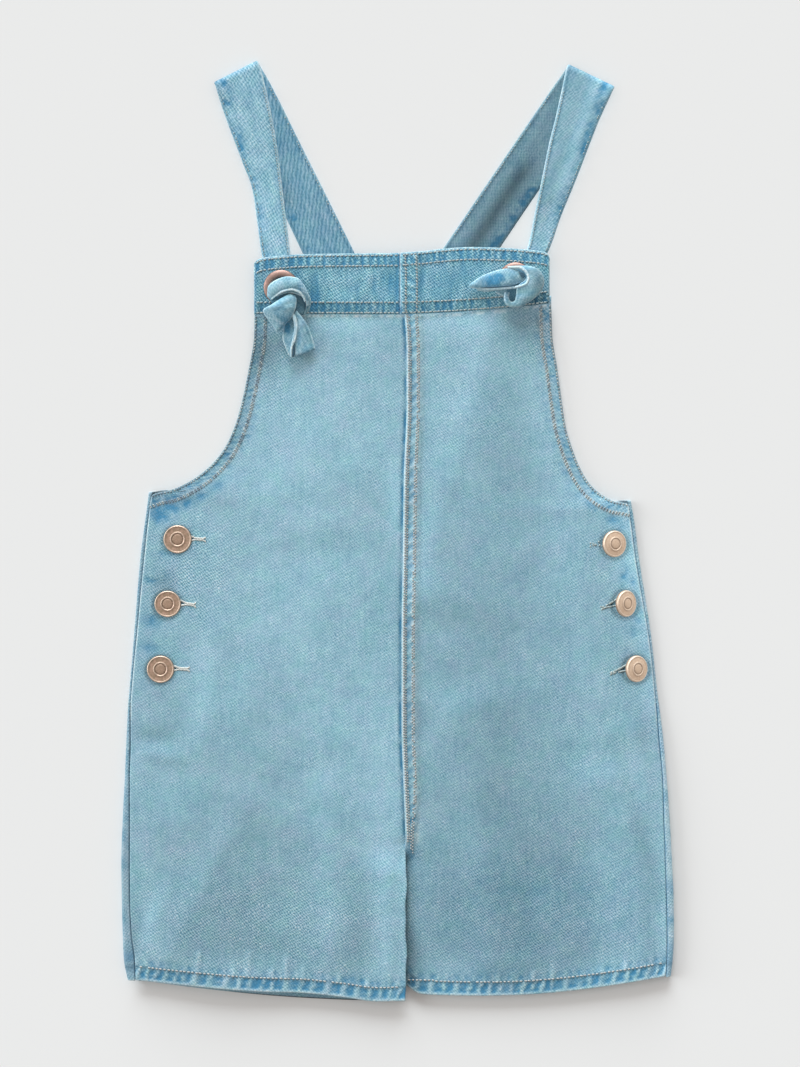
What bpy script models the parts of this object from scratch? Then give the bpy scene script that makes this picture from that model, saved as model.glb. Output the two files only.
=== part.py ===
"""Kids' short-leg denim dungarees, buttoned at both sides, laid flat with the front up.

Metres, +Z up out of the surface that the garment lies on, +Y towards the shoulder
straps, +X towards the viewer's right. The origin is the middle of the garment's box,
on the surface. Tables are in millimetres and give the middle of a cloth wall.
"""

import math
from collections import namedtuple

import bmesh
import bpy
from mathutils import Vector

MM = 0.001

# ---- driving dimensions, millimetres -------------------------------------------------
CLOTH = 1.0                 # one layer of denim
BAND_WALL = 1.8             # the bib band, folded double and pressed
STRAP_WALL = 2.0            # the strap, a turned tube laid flat
KNOT_WALL = 2.6             # the strap bunched in its knot
SEAM_GAP = 0.3              # between two pieces sewn together
LAYER = CLOTH + SEAM_GAP    # middle to middle of two layers that lie on each other

FELL_WIDTH = 6.9            # lap of the flat-felled centre front seam
FELL_EDGE = 0.5             # the upper layer starts down this far past the lap
FELL_STEP = 11.0            # from the seam's edge to where it has come down
LAP_SLACK = 0.6             # past the lap, a point this near still lies on it
ARMHOLE_HEM = 6.5
LEG_HEM = 8.4
HEM_INSET = 0.4             # a turned hem stops this short of the edge above it
HEM_SHARE = 0.03            # the same for a leg's hem, as a share of the last section
FLOOR_LAYER = CLOTH / 2     # middle of the back panels, which lie on the surface
BACK_SEAM_X = 4.0
BACK_TOP_Y = 51.0           # top of the centre back seam
LEG_GAP = 0.4               # half the gap between the two legs' inner edges
LEG_EDGE_X = 5.0

SHOULDER_RADIUS = 1.6       # of the strap's fold over the shoulder
SHOULDER_STEPS = 6

BUTTON_RADIUS = 8.5
BUTTON_THICKNESS = 3.0
SHANK_RADIUS = 1.5
BUTTONHOLE_LENGTH = 17.0
BUTTONHOLE_WIDTH = 1.2
BUTTONHOLE_EYE = 2.8        # radius of the round end that the shank stands in
EYE_DEPTH = 8.0             # of the two cutters, which go right through the placket
SLIT_DEPTH = 7.0
EYE_STEPS = 14

EYELET_RADIUS = 10.5
EYELET_BORE = 5.6
EYELET_WALL = 0.7
EYELET_BACK = 8.5
EYELET_DOME = 1.1           # height of the front flange
EYELET_LIP = 0.5            # height at which the flange turns into the barrel
BAND_HEIGHT = 6.2           # middle of the band where it lies flat
ROUND_STEPS = 16            # sides of the turned pieces
HOLE_STEPS = 24             # sides of the hole that an eyelet sits in
EYELETS = {"left": (-69.3, 144.3), "right": (70.5, 150.3)}

# Turned faces, as shares of the piece's radius and height, from the middle outwards.
Turn = namedtuple("Turn", "radius height")
BUTTON_FACE = [
    Turn(0.0, 0.70), Turn(0.27, 0.70), Turn(0.40, 0.93), Turn(0.61, 0.77),
    Turn(0.87, 0.90), Turn(0.965, 0.80), Turn(1.0, 0.30), Turn(0.92, 0.0),
]
EYELET_FLANGE = [Turn(0.77, 1.0), Turn(0.915, 0.73), Turn(1.0, 0.27), Turn(1.0, 0.0)]

# One row for each section of a front panel, top to hem: where it meets the side, how far
# up the centre it starts, how much it bows, and its height at four places across.
Front = namedtuple("Front", "edge_x edge_y seam_y bow edge flank middle seam")
FRONT_LEFT = [
    Front(-85.5, 135.0, 135.0, 0.0, 4.3, 4.3, 4.3, 4.3),
    Front(-85.6, 129.9, 129.9, 0.0, 4.3, 4.3, 4.3, 4.3),
    Front(-85.7, 123.5, 122.0, 0.0, 3.7, 4.2, 4.9, 5.0),
    Front(-86.0, 115.0, 112.0, 0.0, 3.0, 4.1, 5.2, 5.3),
    Front(-89.0, 98.0, 92.0, 0.0, 2.3, 3.7, 5.2, 5.4),
    Front(-92.5, 81.0, 73.0, 0.0, 2.2, 3.6, 5.2, 5.3),
    Front(-97.0, 64.5, 55.0, 0.0, 2.2, 3.6, 5.0, 5.1),
    Front(-103.0, 51.0, 40.0, 0.0, 2.2, 3.6, 4.7, 4.8),
    Front(-112.0, 39.5, 28.0, 0.0, 2.3, 3.7, 4.3, 4.4),
    Front(-122.7, 31.0, 19.0, 0.0, 3.0, 4.0, 3.9, 3.9),
    Front(-134.0, 25.3, 12.0, 0.0, 4.6, 4.4, 3.6, 3.4),
    Front(-146.7, 21.6, 5.0, 0.0, 5.3, 4.8, 3.5, 3.1),
    Front(-148.8, 8.0, -6.0, 0.0, 5.3, 4.9, 3.4, 2.9),
    Front(-151.3, -15.0, -24.0, 0.0, 5.3, 4.9, 3.3, 2.8),
    Front(-153.6, -38.0, -46.0, 0.0, 5.3, 4.9, 3.3, 2.8),
    Front(-155.7, -61.0, -68.0, 0.0, 5.3, 4.9, 3.3, 2.8),
    Front(-158.0, -84.0, -90.0, 0.0, 5.2, 4.9, 3.4, 2.8),
    Front(-159.6, -107.0, -112.0, 0.0, 4.9, 4.9, 3.6, 2.8),
    Front(-159.5, -127.0, -131.0, 0.0, 3.7, 4.9, 3.9, 2.8),
    Front(-160.1, -148.5, -152.0, 0.0, 4.2, 4.9, 4.0, 2.9),
    Front(-160.0, -172.0, -174.0, 0.0, 4.9, 4.7, 3.9, 3.3),
    Front(-160.0, -184.0, -186.0, 0.0, 5.1, 4.6, 3.8, 3.4),
    Front(-160.0, -196.0, -198.0, 0.0, 5.3, 4.5, 3.8, 4.0),
    Front(-159.9, -220.0, -222.0, 0.0, 5.3, 4.4, 3.9, 4.6),
    Front(-158.9, -241.0, -244.0, 0.0, 5.3, 4.6, 4.3, 5.0),
    Front(-157.0, -256.0, -262.0, -1.0, 5.3, 5.0, 4.9, 5.2),
    Front(-156.5, -268.3, -280.3, -1.5, 5.2, 5.1, 5.1, 5.3),
]
FRONT_RIGHT = [
    Front(92.0, 141.0, 135.0, 0.0, 4.3, 4.3, 4.3, 4.3),
    Front(92.0, 136.5, 129.9, 0.0, 4.3, 4.3, 4.3, 4.3),
    Front(92.3, 128.0, 122.0, 0.0, 3.7, 4.1, 4.9, 5.0),
    Front(92.7, 117.0, 112.0, 0.0, 3.0, 3.7, 5.2, 5.3),
    Front(95.7, 98.0, 92.0, 0.0, 2.3, 3.4, 5.2, 5.4),
    Front(98.0, 81.0, 73.0, 0.0, 2.2, 3.2, 5.0, 5.3),
    Front(100.8, 63.0, 55.0, 0.0, 2.2, 3.1, 4.7, 5.1),
    Front(104.3, 51.0, 40.0, 0.0, 2.2, 3.0, 4.4, 4.8),
    Front(108.5, 40.0, 28.0, 0.0, 2.3, 2.9, 4.1, 4.4),
    Front(114.0, 30.0, 19.0, 0.0, 2.9, 3.0, 3.8, 3.9),
    Front(121.5, 22.5, 12.0, 0.0, 4.0, 3.4, 3.6, 3.4),
    Front(130.0, 18.0, 7.0, 0.0, 5.2, 4.0, 3.5, 3.2),
    Front(137.5, 16.5, 2.0, 0.0, 5.3, 4.4, 3.4, 3.1),
    Front(139.6, 4.0, -10.0, 0.0, 4.8, 4.5, 3.2, 2.9),
    Front(142.3, -16.0, -28.0, 0.0, 4.1, 4.7, 3.0, 2.8),
    Front(146.0, -38.0, -48.0, 0.0, 3.9, 4.7, 2.9, 2.8),
    Front(150.0, -61.0, -68.0, 0.0, 3.9, 4.7, 2.8, 2.8),
    Front(152.8, -84.0, -90.0, 0.0, 3.9, 4.7, 2.8, 2.8),
    Front(154.8, -107.0, -112.0, 0.0, 4.2, 4.7, 3.2, 2.8),
    Front(156.3, -127.0, -131.0, 0.0, 3.7, 4.7, 3.4, 2.8),
    Front(158.4, -148.5, -152.0, 0.0, 4.2, 4.7, 3.4, 2.9),
    Front(159.0, -172.0, -174.0, 0.0, 4.9, 4.6, 3.3, 3.3),
    Front(159.5, -184.0, -186.0, 0.0, 5.1, 4.5, 3.2, 3.4),
    Front(159.9, -196.0, -198.0, 0.0, 5.3, 4.4, 3.2, 3.3),
    Front(160.6, -220.0, -222.0, 0.0, 5.3, 4.3, 3.4, 3.2),
    Front(161.0, -241.0, -244.0, 0.0, 5.3, 4.4, 4.0, 3.6),
    Front(160.9, -254.0, -262.0, -3.0, 5.3, 4.8, 4.6, 4.3),
    Front(160.3, -266.0, -276.5, -5.5, 5.2, 5.0, 4.9, 4.7),
]
LAP_END = -180.0            # up the centre, where the two legs part
LAP_FALL = -190.0           # and where the upper layer has come down to the other leg's

# Shares of the way in at which a front's section has a point, before the seam's own.
FRONT_SHARES = (0.0, 0.025, 0.07, 0.15, 0.25, 0.42, 0.6, 0.76)
HEIGHT_STOPS = (0.0, 0.25, 0.6, 1.0)    # where the four heights of a section are given
FRONT_HEM_SHARES = (0.02, 0.15, 0.3, 0.45, 0.6, 0.75, 0.88, 0.985)
ARMHOLE_ROWS = {"left": (1.15, 10.75), "right": (1.15, 10.7)}   # rows that its hem spans
ARMHOLE_STEPS = 14

# The centre front seam's line.
Seam = namedtuple("Seam", "y x")
CENTRE_SEAM = [
    Seam(135.0, 3.9), Seam(108.0, 5.5), Seam(76.0, 5.5), Seam(33.0, 3.9), Seam(-10.0, 3.3),
    Seam(-66.0, 2.5), Seam(-115.0, 2.5), Seam(-152.0, 3.7), Seam(-190.0, 4.9),
]

# One row for each section of a back panel: the outermost point of its side fold, the
# fold's radius, and where the cloth that has come round on top ends.
Back = namedtuple("Back", "y outer radius end")
BACK_LEFT = [
    Back(22.3, -149.0, 1.05, -121.0),
    Back(8.0, -151.0, 1.05, -121.5),
    Back(-15.0, -154.0, 1.05, -124.0),
    Back(-61.0, -157.8, 1.05, -127.5),
    Back(-98.0, -160.9, 1.05, -131.0),
    Back(-102.0, -161.3, 1.05, -160.0),
    Back(-122.0, -162.3, 1.40, -160.1),
    Back(-148.5, -163.4, 1.85, -160.6),
    Back(-172.0, -164.6, 2.20, -160.4),
    Back(-198.0, -165.4, 2.40, -160.4),
    Back(-220.0, -165.1, 2.40, -160.3),
    Back(-241.0, -164.6, 2.40, -159.3),
    Back(-256.0, -163.9, 2.40, -157.4),
    Back(-268.6, -161.5, 2.40, -156.9),
]
BACK_RIGHT = [
    Back(17.3, 139.8, 1.05, 112.0),
    Back(4.0, 142.2, 0.85, 112.5),
    Back(-15.0, 144.6, 0.80, 115.0),
    Back(-61.0, 151.8, 0.80, 121.0),
    Back(-98.0, 156.0, 0.80, 126.0),
    Back(-102.0, 156.5, 0.85, 155.2),
    Back(-122.0, 159.0, 1.40, 156.7),
    Back(-148.5, 161.4, 1.85, 158.9),
    Back(-172.0, 163.0, 2.20, 159.5),
    Back(-198.0, 164.4, 2.40, 160.3),
    Back(-220.0, 165.4, 2.40, 161.0),
    Back(-241.0, 165.6, 2.40, 161.4),
    Back(-254.0, 165.0, 2.40, 161.3),
    Back(-266.6, 163.6, 2.35, 160.7),
]
BACK_RISE_ROWS = 3          # rows over which the raised centre back fades out
BACK_HEM = {"left": (-281.8, -3.0), "right": (-276.8, -5.0)}    # at the centre, and its bow
BACK_HEM_WEIGHTS = (1.0, 0.45)      # how much of that curve the last two rows take
BACK_FLAT = (0.0, 0.25, 0.5, 0.75, 1.0)     # shares of the way out, to the side fold
FOLD_ANGLES = (36.0, 72.0, 108.0, 144.0)
LIP = (0.45, 1.0)           # shares of the way from the fold to where the cloth ends
BACK_HEM_SHARES = (0.015, 0.2, 0.4, 0.6, 0.8, 0.97)

# The bib band's top and bottom edges, from its outer end to the centre seam.
Band = namedtuple("Band", "x bottom top rise")
BAND_LEFT = [
    Band(-85.8, 129.9, 160.2, 0.0), Band(-81.5, 129.9, 163.2, 0.0),
    Band(-70.0, 129.9, 164.9, 0.0), Band(-56.0, 129.9, 165.8, 0.0),
    Band(-29.0, 129.9, 166.2, 0.0), Band(1.4, 129.9, 166.5, 0.0),
]
BAND_RIGHT = [
    Band(90.9, 136.7, 163.5, 0.0), Band(87.5, 136.1, 167.0, 0.0),
    Band(78.0, 135.0, 168.5, 0.0), Band(62.0, 133.3, 169.6, 0.0),
    Band(44.0, 131.9, 170.1, 0.0), Band(26.0, 130.8, 168.9, 0.0),
    Band(15.0, 130.3, 167.6, 0.0), Band(11.5, 130.1, 167.3, 1.2),
    Band(1.8, 129.9, 166.6, 1.2),
]
BAND_ROWS = (0.0, 0.3, 0.65, 0.92, 1.0)
BAND_TOP_DROP = 0.5

# The straps, from the end sewn inside the back, over the shoulder, to the bib: the two
# edges of the strap and its height.
Edges = namedtuple("Edges", "outer_x outer_y inner_x inner_y z")
STRAP_LEFT_BACK = [
    Edges(5.5, 37.9, 30.7, 50.1, 2.4), Edges(-1.3, 51.9, 23.9, 64.1, 2.4),
    Edges(-6.5, 62.7, 18.7, 74.9, 1.0), Edges(-14.8, 79.9, 10.4, 92.1, 1.0),
    Edges(-55.4, 163.9, -30.2, 176.1, 1.0), Edges(-84.0, 224.0, -60.0, 236.0, 1.0),
    Edges(-100.6, 256.0, -76.0, 268.0, 1.0),
]
STRAP_LEFT_FOLD = Edges(-110.1, 269.1, -84.0, 282.3, 1.0)
STRAP_LEFT_FRONT = [
    Edges(-107.4, 261.3, -79.5, 268.0, 4.2), Edges(-102.5, 246.9, -75.2, 248.5, 4.2),
    Edges(-93.3, 222.3, -71.0, 223.5, 3.8), Edges(-86.9, 204.9, -68.9, 205.5, 3.6),
    Edges(-84.0, 185.1, -66.4, 185.3, 3.0), Edges(-81.1, 164.7, -63.9, 164.7, 2.5),
    Edges(-78.0, 153.0, -62.5, 153.0, 2.4), Edges(-75.5, 141.0, -63.0, 141.0, 2.4),
]
STRAP_RIGHT_BACK = [
    Edges(-30.4, 36.1, -53.4, 51.9, 2.4), Edges(-19.5, 52.1, -42.5, 67.9, 2.6),
    Edges(-8.5, 68.1, -31.5, 83.9, 3.4), Edges(3.9, 86.1, -19.1, 101.9, 3.4),
    Edges(16.2, 104.1, -6.8, 119.9, 3.4), Edges(25.8, 118.1, 2.8, 133.9, 2.2),
    Edges(36.8, 134.1, 13.8, 149.9, 1.0), Edges(56.0, 162.1, 33.0, 177.9, 1.0),
    Edges(86.5, 207.1, 63.5, 222.9, 1.0), Edges(116.5, 250.5, 93.0, 266.0, 1.0),
]
STRAP_RIGHT_FOLD = Edges(130.2, 266.6, 102.3, 280.1, 1.0)
STRAP_RIGHT_FRONT = [
    Edges(126.4, 258.5, 98.5, 265.5, 4.2), Edges(120.6, 246.0, 94.5, 247.5, 4.2),
    Edges(115.5, 233.1, 90.9, 233.1, 4.0), Edges(106.5, 209.7, 86.1, 209.7, 3.7),
    Edges(98.1, 189.3, 81.9, 189.3, 3.0), Edges(90.3, 167.7, 77.7, 169.8, 2.5),
    Edges(82.0, 155.0, 70.0, 157.5, 2.4), Edges(76.5, 145.5, 64.5, 147.0, 2.4),
]

# The passes of each knot: the two edges of the folded strap and its height.
KNOT_LEFT = {
    "wrap": [
        Edges(-77.8, 142.3, -76.3, 137.9, 10.2), Edges(-75.9, 147.4, -72.9, 139.5, 12.0),
        Edges(-71.7, 151.8, -68.7, 143.4, 14.0), Edges(-66.9, 153.6, -65.1, 145.2, 15.2),
        Edges(-62.1, 153.0, -60.9, 145.5, 15.2), Edges(-57.3, 150.3, -57.3, 144.6, 14.2),
        Edges(-54.3, 144.9, -57.0, 140.1, 12.6), Edges(-52.4, 138.5, -56.0, 136.4, 11.0),
        Edges(-53.0, 134.0, -57.0, 133.0, 9.6), Edges(-56.1, 130.1, -59.3, 131.1, 9.0),
    ],
    "flap": [
        Edges(-67.5, 142.5, -60.6, 136.5, 12.2), Edges(-71.7, 140.1, -61.5, 132.3, 13.0),
        Edges(-76.5, 136.5, -66.3, 125.7, 12.4), Edges(-80.9, 132.2, -71.7, 119.4, 10.2),
    ],
    "tail": [
        Edges(-65.5, 131.3, -58.3, 133.7, 10.2), Edges(-67.1, 121.9, -55.5, 125.1, 9.2),
        Edges(-68.2, 116.1, -51.9, 117.3, 8.2), Edges(-65.6, 106.5, -49.5, 110.1, 7.3),
    ],
}
KNOT_RIGHT = {
    "wrap": [
        Edges(66.9, 158.7, 68.7, 153.3, 12.0), Edges(73.5, 160.2, 74.1, 152.7, 13.6),
        Edges(80.7, 158.7, 77.1, 150.9, 14.2), Edges(86.1, 154.8, 78.3, 148.5, 14.0),
        Edges(87.9, 149.1, 77.1, 145.5, 13.2), Edges(85.5, 143.1, 74.1, 143.7, 12.2),
        Edges(80.1, 138.3, 69.9, 143.1, 11.6), Edges(72.9, 134.7, 66.3, 143.1, 11.0),
        Edges(66.3, 135.6, 63.9, 142.5, 10.4),
    ],
    "tail": [
        Edges(74.7, 156.3, 75.5, 147.5, 12.6), Edges(66.3, 157.8, 69.3, 146.7, 12.2),
        Edges(59.7, 156.3, 61.5, 145.8, 11.0), Edges(52.5, 153.9, 53.7, 145.2, 10.0),
        Edges(46.5, 150.3, 47.7, 145.8, 9.3), Edges(42.9, 147.9, 43.7, 146.2, 9.1),
    ],
}
Core = namedtuple("Core", "x y z radius_x radius_y radius_z")
KNOT_CORE = {
    "left": Core(-66.0, 140.0, 11.2, 9.0, 8.0, 2.6),
    "right": Core(73.0, 147.5, 11.2, 9.0, 8.0, 2.6),
}
CORE_STEPS = (14, 8)        # sides round a knot's core, and up it
NECK_RADIUS = 4.9
NECK_BOTTOM = 3.9

# The buttons: the middle of the cap's underside, and how far its face leans outwards.
Button = namedtuple("Button", "x y z lean")
BUTTONS = {
    "left": [Button(-131.9, -4.7, 6.1, 0.0), Button(-137.8, -43.3, 6.1, 0.0),
             Button(-142.1, -82.3, 6.1, 0.0)],
    "right": [Button(129.6, -7.4, 8.6, 24.0), Button(136.2, -43.0, 9.4, 36.0),
              Button(142.6, -81.9, 9.2, 31.0)],
}
SHANK_BOTTOM = {"left": 3.4, "right": 3.9}
PLACKET_MIDDLE = {"left": 5.1, "right": 4.6}    # height of the cloth under the buttons

COLOURS = {
    "denim_front": (0.27, 0.46, 0.53),
    "denim_back": (0.20, 0.37, 0.44),
    "denim_band": (0.19, 0.40, 0.50),
    "denim_strap": (0.28, 0.47, 0.54),
    "copper": (0.55, 0.38, 0.30),
}


# ---- helpers -------------------------------------------------------------------------
def start_clean():
    """Empties the scene and adds one collection for the garment and one for cutters."""
    for found in list(bpy.data.objects):
        bpy.data.objects.remove(found, do_unlink=True)
    garment = bpy.data.collections.new("kids_dungarees")
    cutters = bpy.data.collections.new("cutters")
    for group in (garment, cutters):
        bpy.context.scene.collection.children.link(group)
    return garment, cutters


def finish(name, roughness, metallic):
    """A Principled material in one of the garment's colours."""
    material = bpy.data.materials.get(name) or bpy.data.materials.new(name)
    material.use_nodes = True
    shader = material.node_tree.nodes["Principled BSDF"]
    shader.inputs["Base Color"].default_value = (*COLOURS[name], 1.0)
    shader.inputs["Roughness"].default_value = roughness
    shader.inputs["Metallic"].default_value = metallic
    return material


def denim(name):
    return finish(name, 0.9, 0.0)


def copper():
    return finish("copper", 0.35, 0.9)


def add_object(name, work, group, material=None):
    """Makes an object from a bmesh whose points are in millimetres."""
    bmesh.ops.scale(work, vec=(MM, MM, MM), verts=work.verts)
    mesh = bpy.data.meshes.new(name)
    work.to_mesh(mesh)
    work.free()
    thing = bpy.data.objects.new(name, mesh)
    group.objects.link(thing)
    if material:
        mesh.materials.append(material)
    return thing


def cloth(name, columns, rows, place, wall, group, material):
    """A sheet of cloth: a grid whose points place(column, row) gives, with its wall."""
    work = bmesh.new()
    bmesh.ops.create_grid(work, x_segments=columns, y_segments=rows, size=0.5)
    for vert in work.verts:
        column = round((vert.co.x + 0.5) * columns)
        row = round((vert.co.y + 0.5) * rows)
        vert.co = Vector(place(column, row))
    thing = add_object(name, work, group, material)
    shell = thing.modifiers.new("wall", "SOLIDIFY")
    shell.thickness = wall * MM
    shell.offset = 0.0
    shell.use_even_offset = True
    thing.data.shade_smooth()
    return thing


def blend(low, high, share):
    return low + (high - low) * share


def ease(share):
    share = min(max(share, 0.0), 1.0)
    return share * share * (3.0 - 2.0 * share)


def seam_x(y):
    """The centre front seam's line at a height up the garment."""
    for upper, lower in zip(CENTRE_SEAM, CENTRE_SEAM[1:]):
        if y >= lower.y:
            share = min(max((upper.y - y) / (upper.y - lower.y), 0.0), 1.0)
            return blend(upper.x, lower.x, share)
    return CENTRE_SEAM[-1].x


def cut(thing, cutter, operation="DIFFERENCE"):
    step = thing.modifiers.new(operation.lower(), "BOOLEAN")
    step.operation = operation
    step.solver = "EXACT"
    step.use_self = operation == "UNION"
    step.object = cutter


def hide_cutter(thing):
    thing.hide_render = True
    thing.display_type = "WIRE"


# ---- the front -----------------------------------------------------------------------
def front_ends(side, row):
    """The outer and inner ends of one section of a front panel, and the lap's height."""
    seam = seam_x(row.seam_y)
    lapped = row.seam_y > LAP_END
    if side == "left":
        inner = seam + FELL_WIDTH if lapped else LEG_EDGE_X - LEG_GAP
        lap = 0.0
    else:
        inner = seam if lapped else LEG_EDGE_X + LEG_GAP
        lap = LAYER if row.seam_y > LAP_FALL else 0.0
    return row.edge_x, inner, lap


def front_height(row, share):
    """The height across one section, eased between its four measured places."""
    stops = list(zip(HEIGHT_STOPS, (row.edge, row.flank, row.middle, row.seam)))
    for (first, low), (last, high) in zip(stops, stops[1:]):
        if share <= last:
            return blend(low, high, ease((share - first) / (last - first)))
    return row.seam


def front_share(side, row, distance):
    """How far across a section a point at a distance from its inner end lies."""
    outer, inner, _ = front_ends(side, row)
    return 1.0 - distance / abs(inner - outer)


def front_point(side, row, share):
    """A point on a front panel, by its share of the way in."""
    outer, inner, lap = front_ends(side, row)
    y = blend(row.edge_y, row.seam_y, share) + row.bow * math.sin(math.pi * share)
    from_seam = (1.0 - share) * abs(inner - outer)
    on_lap = lap if from_seam < FELL_WIDTH + LAP_SLACK else 0.0
    return (blend(outer, inner, share), y, front_height(row, share) + on_lap)


def between(rows, place):
    """The section a fraction of the way between two rows of a table."""
    index = min(int(place), len(rows) - 2)
    share = place - index
    pairs = zip(rows[index], rows[index + 1])
    return type(rows[0])(*(blend(low, high, share) for low, high in pairs))


def front_panel(side, rows, group):
    seam_steps = (FELL_STEP, FELL_WIDTH + FELL_EDGE, 0.0)
    columns = len(FRONT_SHARES) + len(seam_steps) - 1

    def place(column, index):
        row = rows[len(rows) - 1 - index]
        if column < len(FRONT_SHARES):
            return front_point(side, row, FRONT_SHARES[column])
        distance = seam_steps[column - len(FRONT_SHARES)]
        return front_point(side, row, front_share(side, row, distance))

    return cloth(f"front_{side}_panel", columns, len(rows) - 1, place, CLOTH, group,
                 denim("denim_front"))


def armhole_hem(side, rows, group):
    """The armhole's edge turned under, a second layer below the panel's edge."""
    first, last = ARMHOLE_ROWS[side]

    def place(column, index):
        row = between(rows, blend(first, last, index / ARMHOLE_STEPS))
        outer, inner, _ = front_ends(side, row)
        share = blend(HEM_INSET, ARMHOLE_HEM, column) / abs(inner - outer)
        x, y, z = front_point(side, row, share)
        return (x, y, z - LAYER)

    return cloth(f"armhole_hem_{side}", 1, ARMHOLE_STEPS, place, CLOTH, group,
                 denim("denim_front"))


def front_leg_hem(side, rows, group):
    """The front leg's edge turned under."""
    last = len(rows) - 1
    length = abs(rows[last].edge_y - rows[last - 1].edge_y)
    places = (last - LEG_HEM / length, last - HEM_SHARE)

    def place(column, index):
        row = between(rows, places[index])
        x, y, z = front_point(side, row, FRONT_HEM_SHARES[column])
        return (x, y, z - LAYER)

    return cloth(f"front_leg_hem_{side}", len(FRONT_HEM_SHARES) - 1, 1, place, CLOTH,
                 group, denim("denim_front"))


# ---- the back ------------------------------------------------------------------------
def back_inner(side, y):
    """The inner edge of a back panel: the centre back seam, then the leg's inner edge."""
    away = -1.0 if side == "left" else 1.0
    if y > LAP_END:
        return BACK_SEAM_X + away * SEAM_GAP / 2
    return LEG_EDGE_X + away * LEG_GAP


def back_lift(rows, index, x):
    """How far the raised centre back lifts a point of one of the top rows."""
    fade = max(0.0, 1.0 - index / BACK_RISE_ROWS)
    away = abs(x - BACK_SEAM_X) / abs(rows[0].outer - BACK_SEAM_X)
    return (BACK_TOP_Y - rows[0].y) * fade * ease(1.0 - away)


def back_drop(side, rows, index, share_in):
    """How far the curved hem drops a point of the last two rows."""
    hem, bow = BACK_HEM[side]
    above = len(rows) - 1 - index
    weight = BACK_HEM_WEIGHTS[above] if above < len(BACK_HEM_WEIGHTS) else 0.0
    lowest = (hem - rows[-1].y) * share_in + bow * math.sin(math.pi * share_in)
    return lowest * weight


def back_point(side, rows, index, share):
    """A point on the flat part of a back panel, by its share of the way out."""
    row = rows[index]
    away = 1.0 if side == "right" else -1.0
    turn = row.outer - away * (CLOTH / 2 + row.radius)
    x = blend(back_inner(side, row.y), turn, share)
    y = row.y + back_lift(rows, index, x) + back_drop(side, rows, index, 1.0 - share)
    return (x, y, FLOOR_LAYER)


def back_panel(side, rows, group):
    away = 1.0 if side == "right" else -1.0
    columns = len(BACK_FLAT) + len(FOLD_ANGLES) + len(LIP) - 1

    def on_fold(row, degrees):
        angle = math.radians(degrees)
        turn = row.outer - away * (CLOTH / 2 + row.radius)
        x = turn + away * row.radius * math.sin(angle)
        return (x, row.y, FLOOR_LAYER + row.radius * (1.0 - math.cos(angle)))

    def place(column, step):
        index = len(rows) - 1 - step
        row = rows[index]
        if column < len(BACK_FLAT):
            return back_point(side, rows, index, BACK_FLAT[column])
        column -= len(BACK_FLAT)
        if column < len(FOLD_ANGLES):
            return on_fold(row, FOLD_ANGLES[column])
        share = LIP[column - len(FOLD_ANGLES)]
        x, y, z = on_fold(row, FOLD_ANGLES[-1])
        top = FLOOR_LAYER + 2.0 * row.radius
        return (blend(x, row.end, share), y, blend(z, top, share))

    return cloth(f"back_{side}_panel", columns, len(rows) - 1, place, CLOTH, group,
                 denim("denim_back"))


def back_leg_hem(side, rows, group):
    """The back leg's edge turned in, above the panel."""
    last = len(rows) - 1

    def place(column, index):
        low = back_point(side, rows, last, BACK_HEM_SHARES[column])
        high = back_point(side, rows, last - 1, BACK_HEM_SHARES[column])
        share = HEM_SHARE if index == 0 else LEG_HEM / abs(high[1] - low[1])
        point = [blend(a, b, share) for a, b in zip(low, high)]
        return (point[0], point[1], FLOOR_LAYER + LAYER)

    return cloth(f"back_leg_hem_{side}", len(BACK_HEM_SHARES) - 1, 1, place, CLOTH,
                 group, denim("denim_back"))


# ---- the bib band --------------------------------------------------------------------
def bib_band(side, rows, group, cutters):
    def place(column, index):
        row = rows[column]
        share = BAND_ROWS[index]
        drop = BAND_TOP_DROP if share == 1.0 else 0.0
        return (row.x, blend(row.bottom, row.top, share), BAND_HEIGHT + row.rise - drop)

    band = cloth(f"bib_band_{side}", len(rows) - 1, len(BAND_ROWS) - 1, place, BAND_WALL,
                 group, denim("denim_band"))
    work = bmesh.new()
    hole_radius = EYELET_BORE + EYELET_WALL + SEAM_GAP
    bmesh.ops.create_cone(work, cap_ends=True, segments=HOLE_STEPS, depth=4 * BAND_WALL,
                          radius1=hole_radius, radius2=hole_radius)
    bmesh.ops.translate(work, vec=(*EYELETS[side], BAND_HEIGHT), verts=work.verts)
    hole = add_object(f"eyelet_hole_{side}", work, cutters)
    hide_cutter(hole)
    cut(band, hole)
    return band


def turned(name, profile, group, material, ring=False):
    """A turned piece: a profile of (radius, height) about its own Z axis."""
    work = bmesh.new()
    points = [work.verts.new((radius, 0.0, height)) for radius, height in profile]
    for first, second in zip(points, points[1:]):
        work.edges.new((first, second))
    if ring:
        work.edges.new((points[-1], points[0]))
    thing = add_object(name, work, group, material)
    screw = thing.modifiers.new("turn", "SCREW")
    screw.steps = ROUND_STEPS
    screw.render_steps = ROUND_STEPS
    screw.use_merge_vertices = True
    screw.merge_threshold = 0.00001
    screw.use_smooth_shade = True
    return thing


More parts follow.
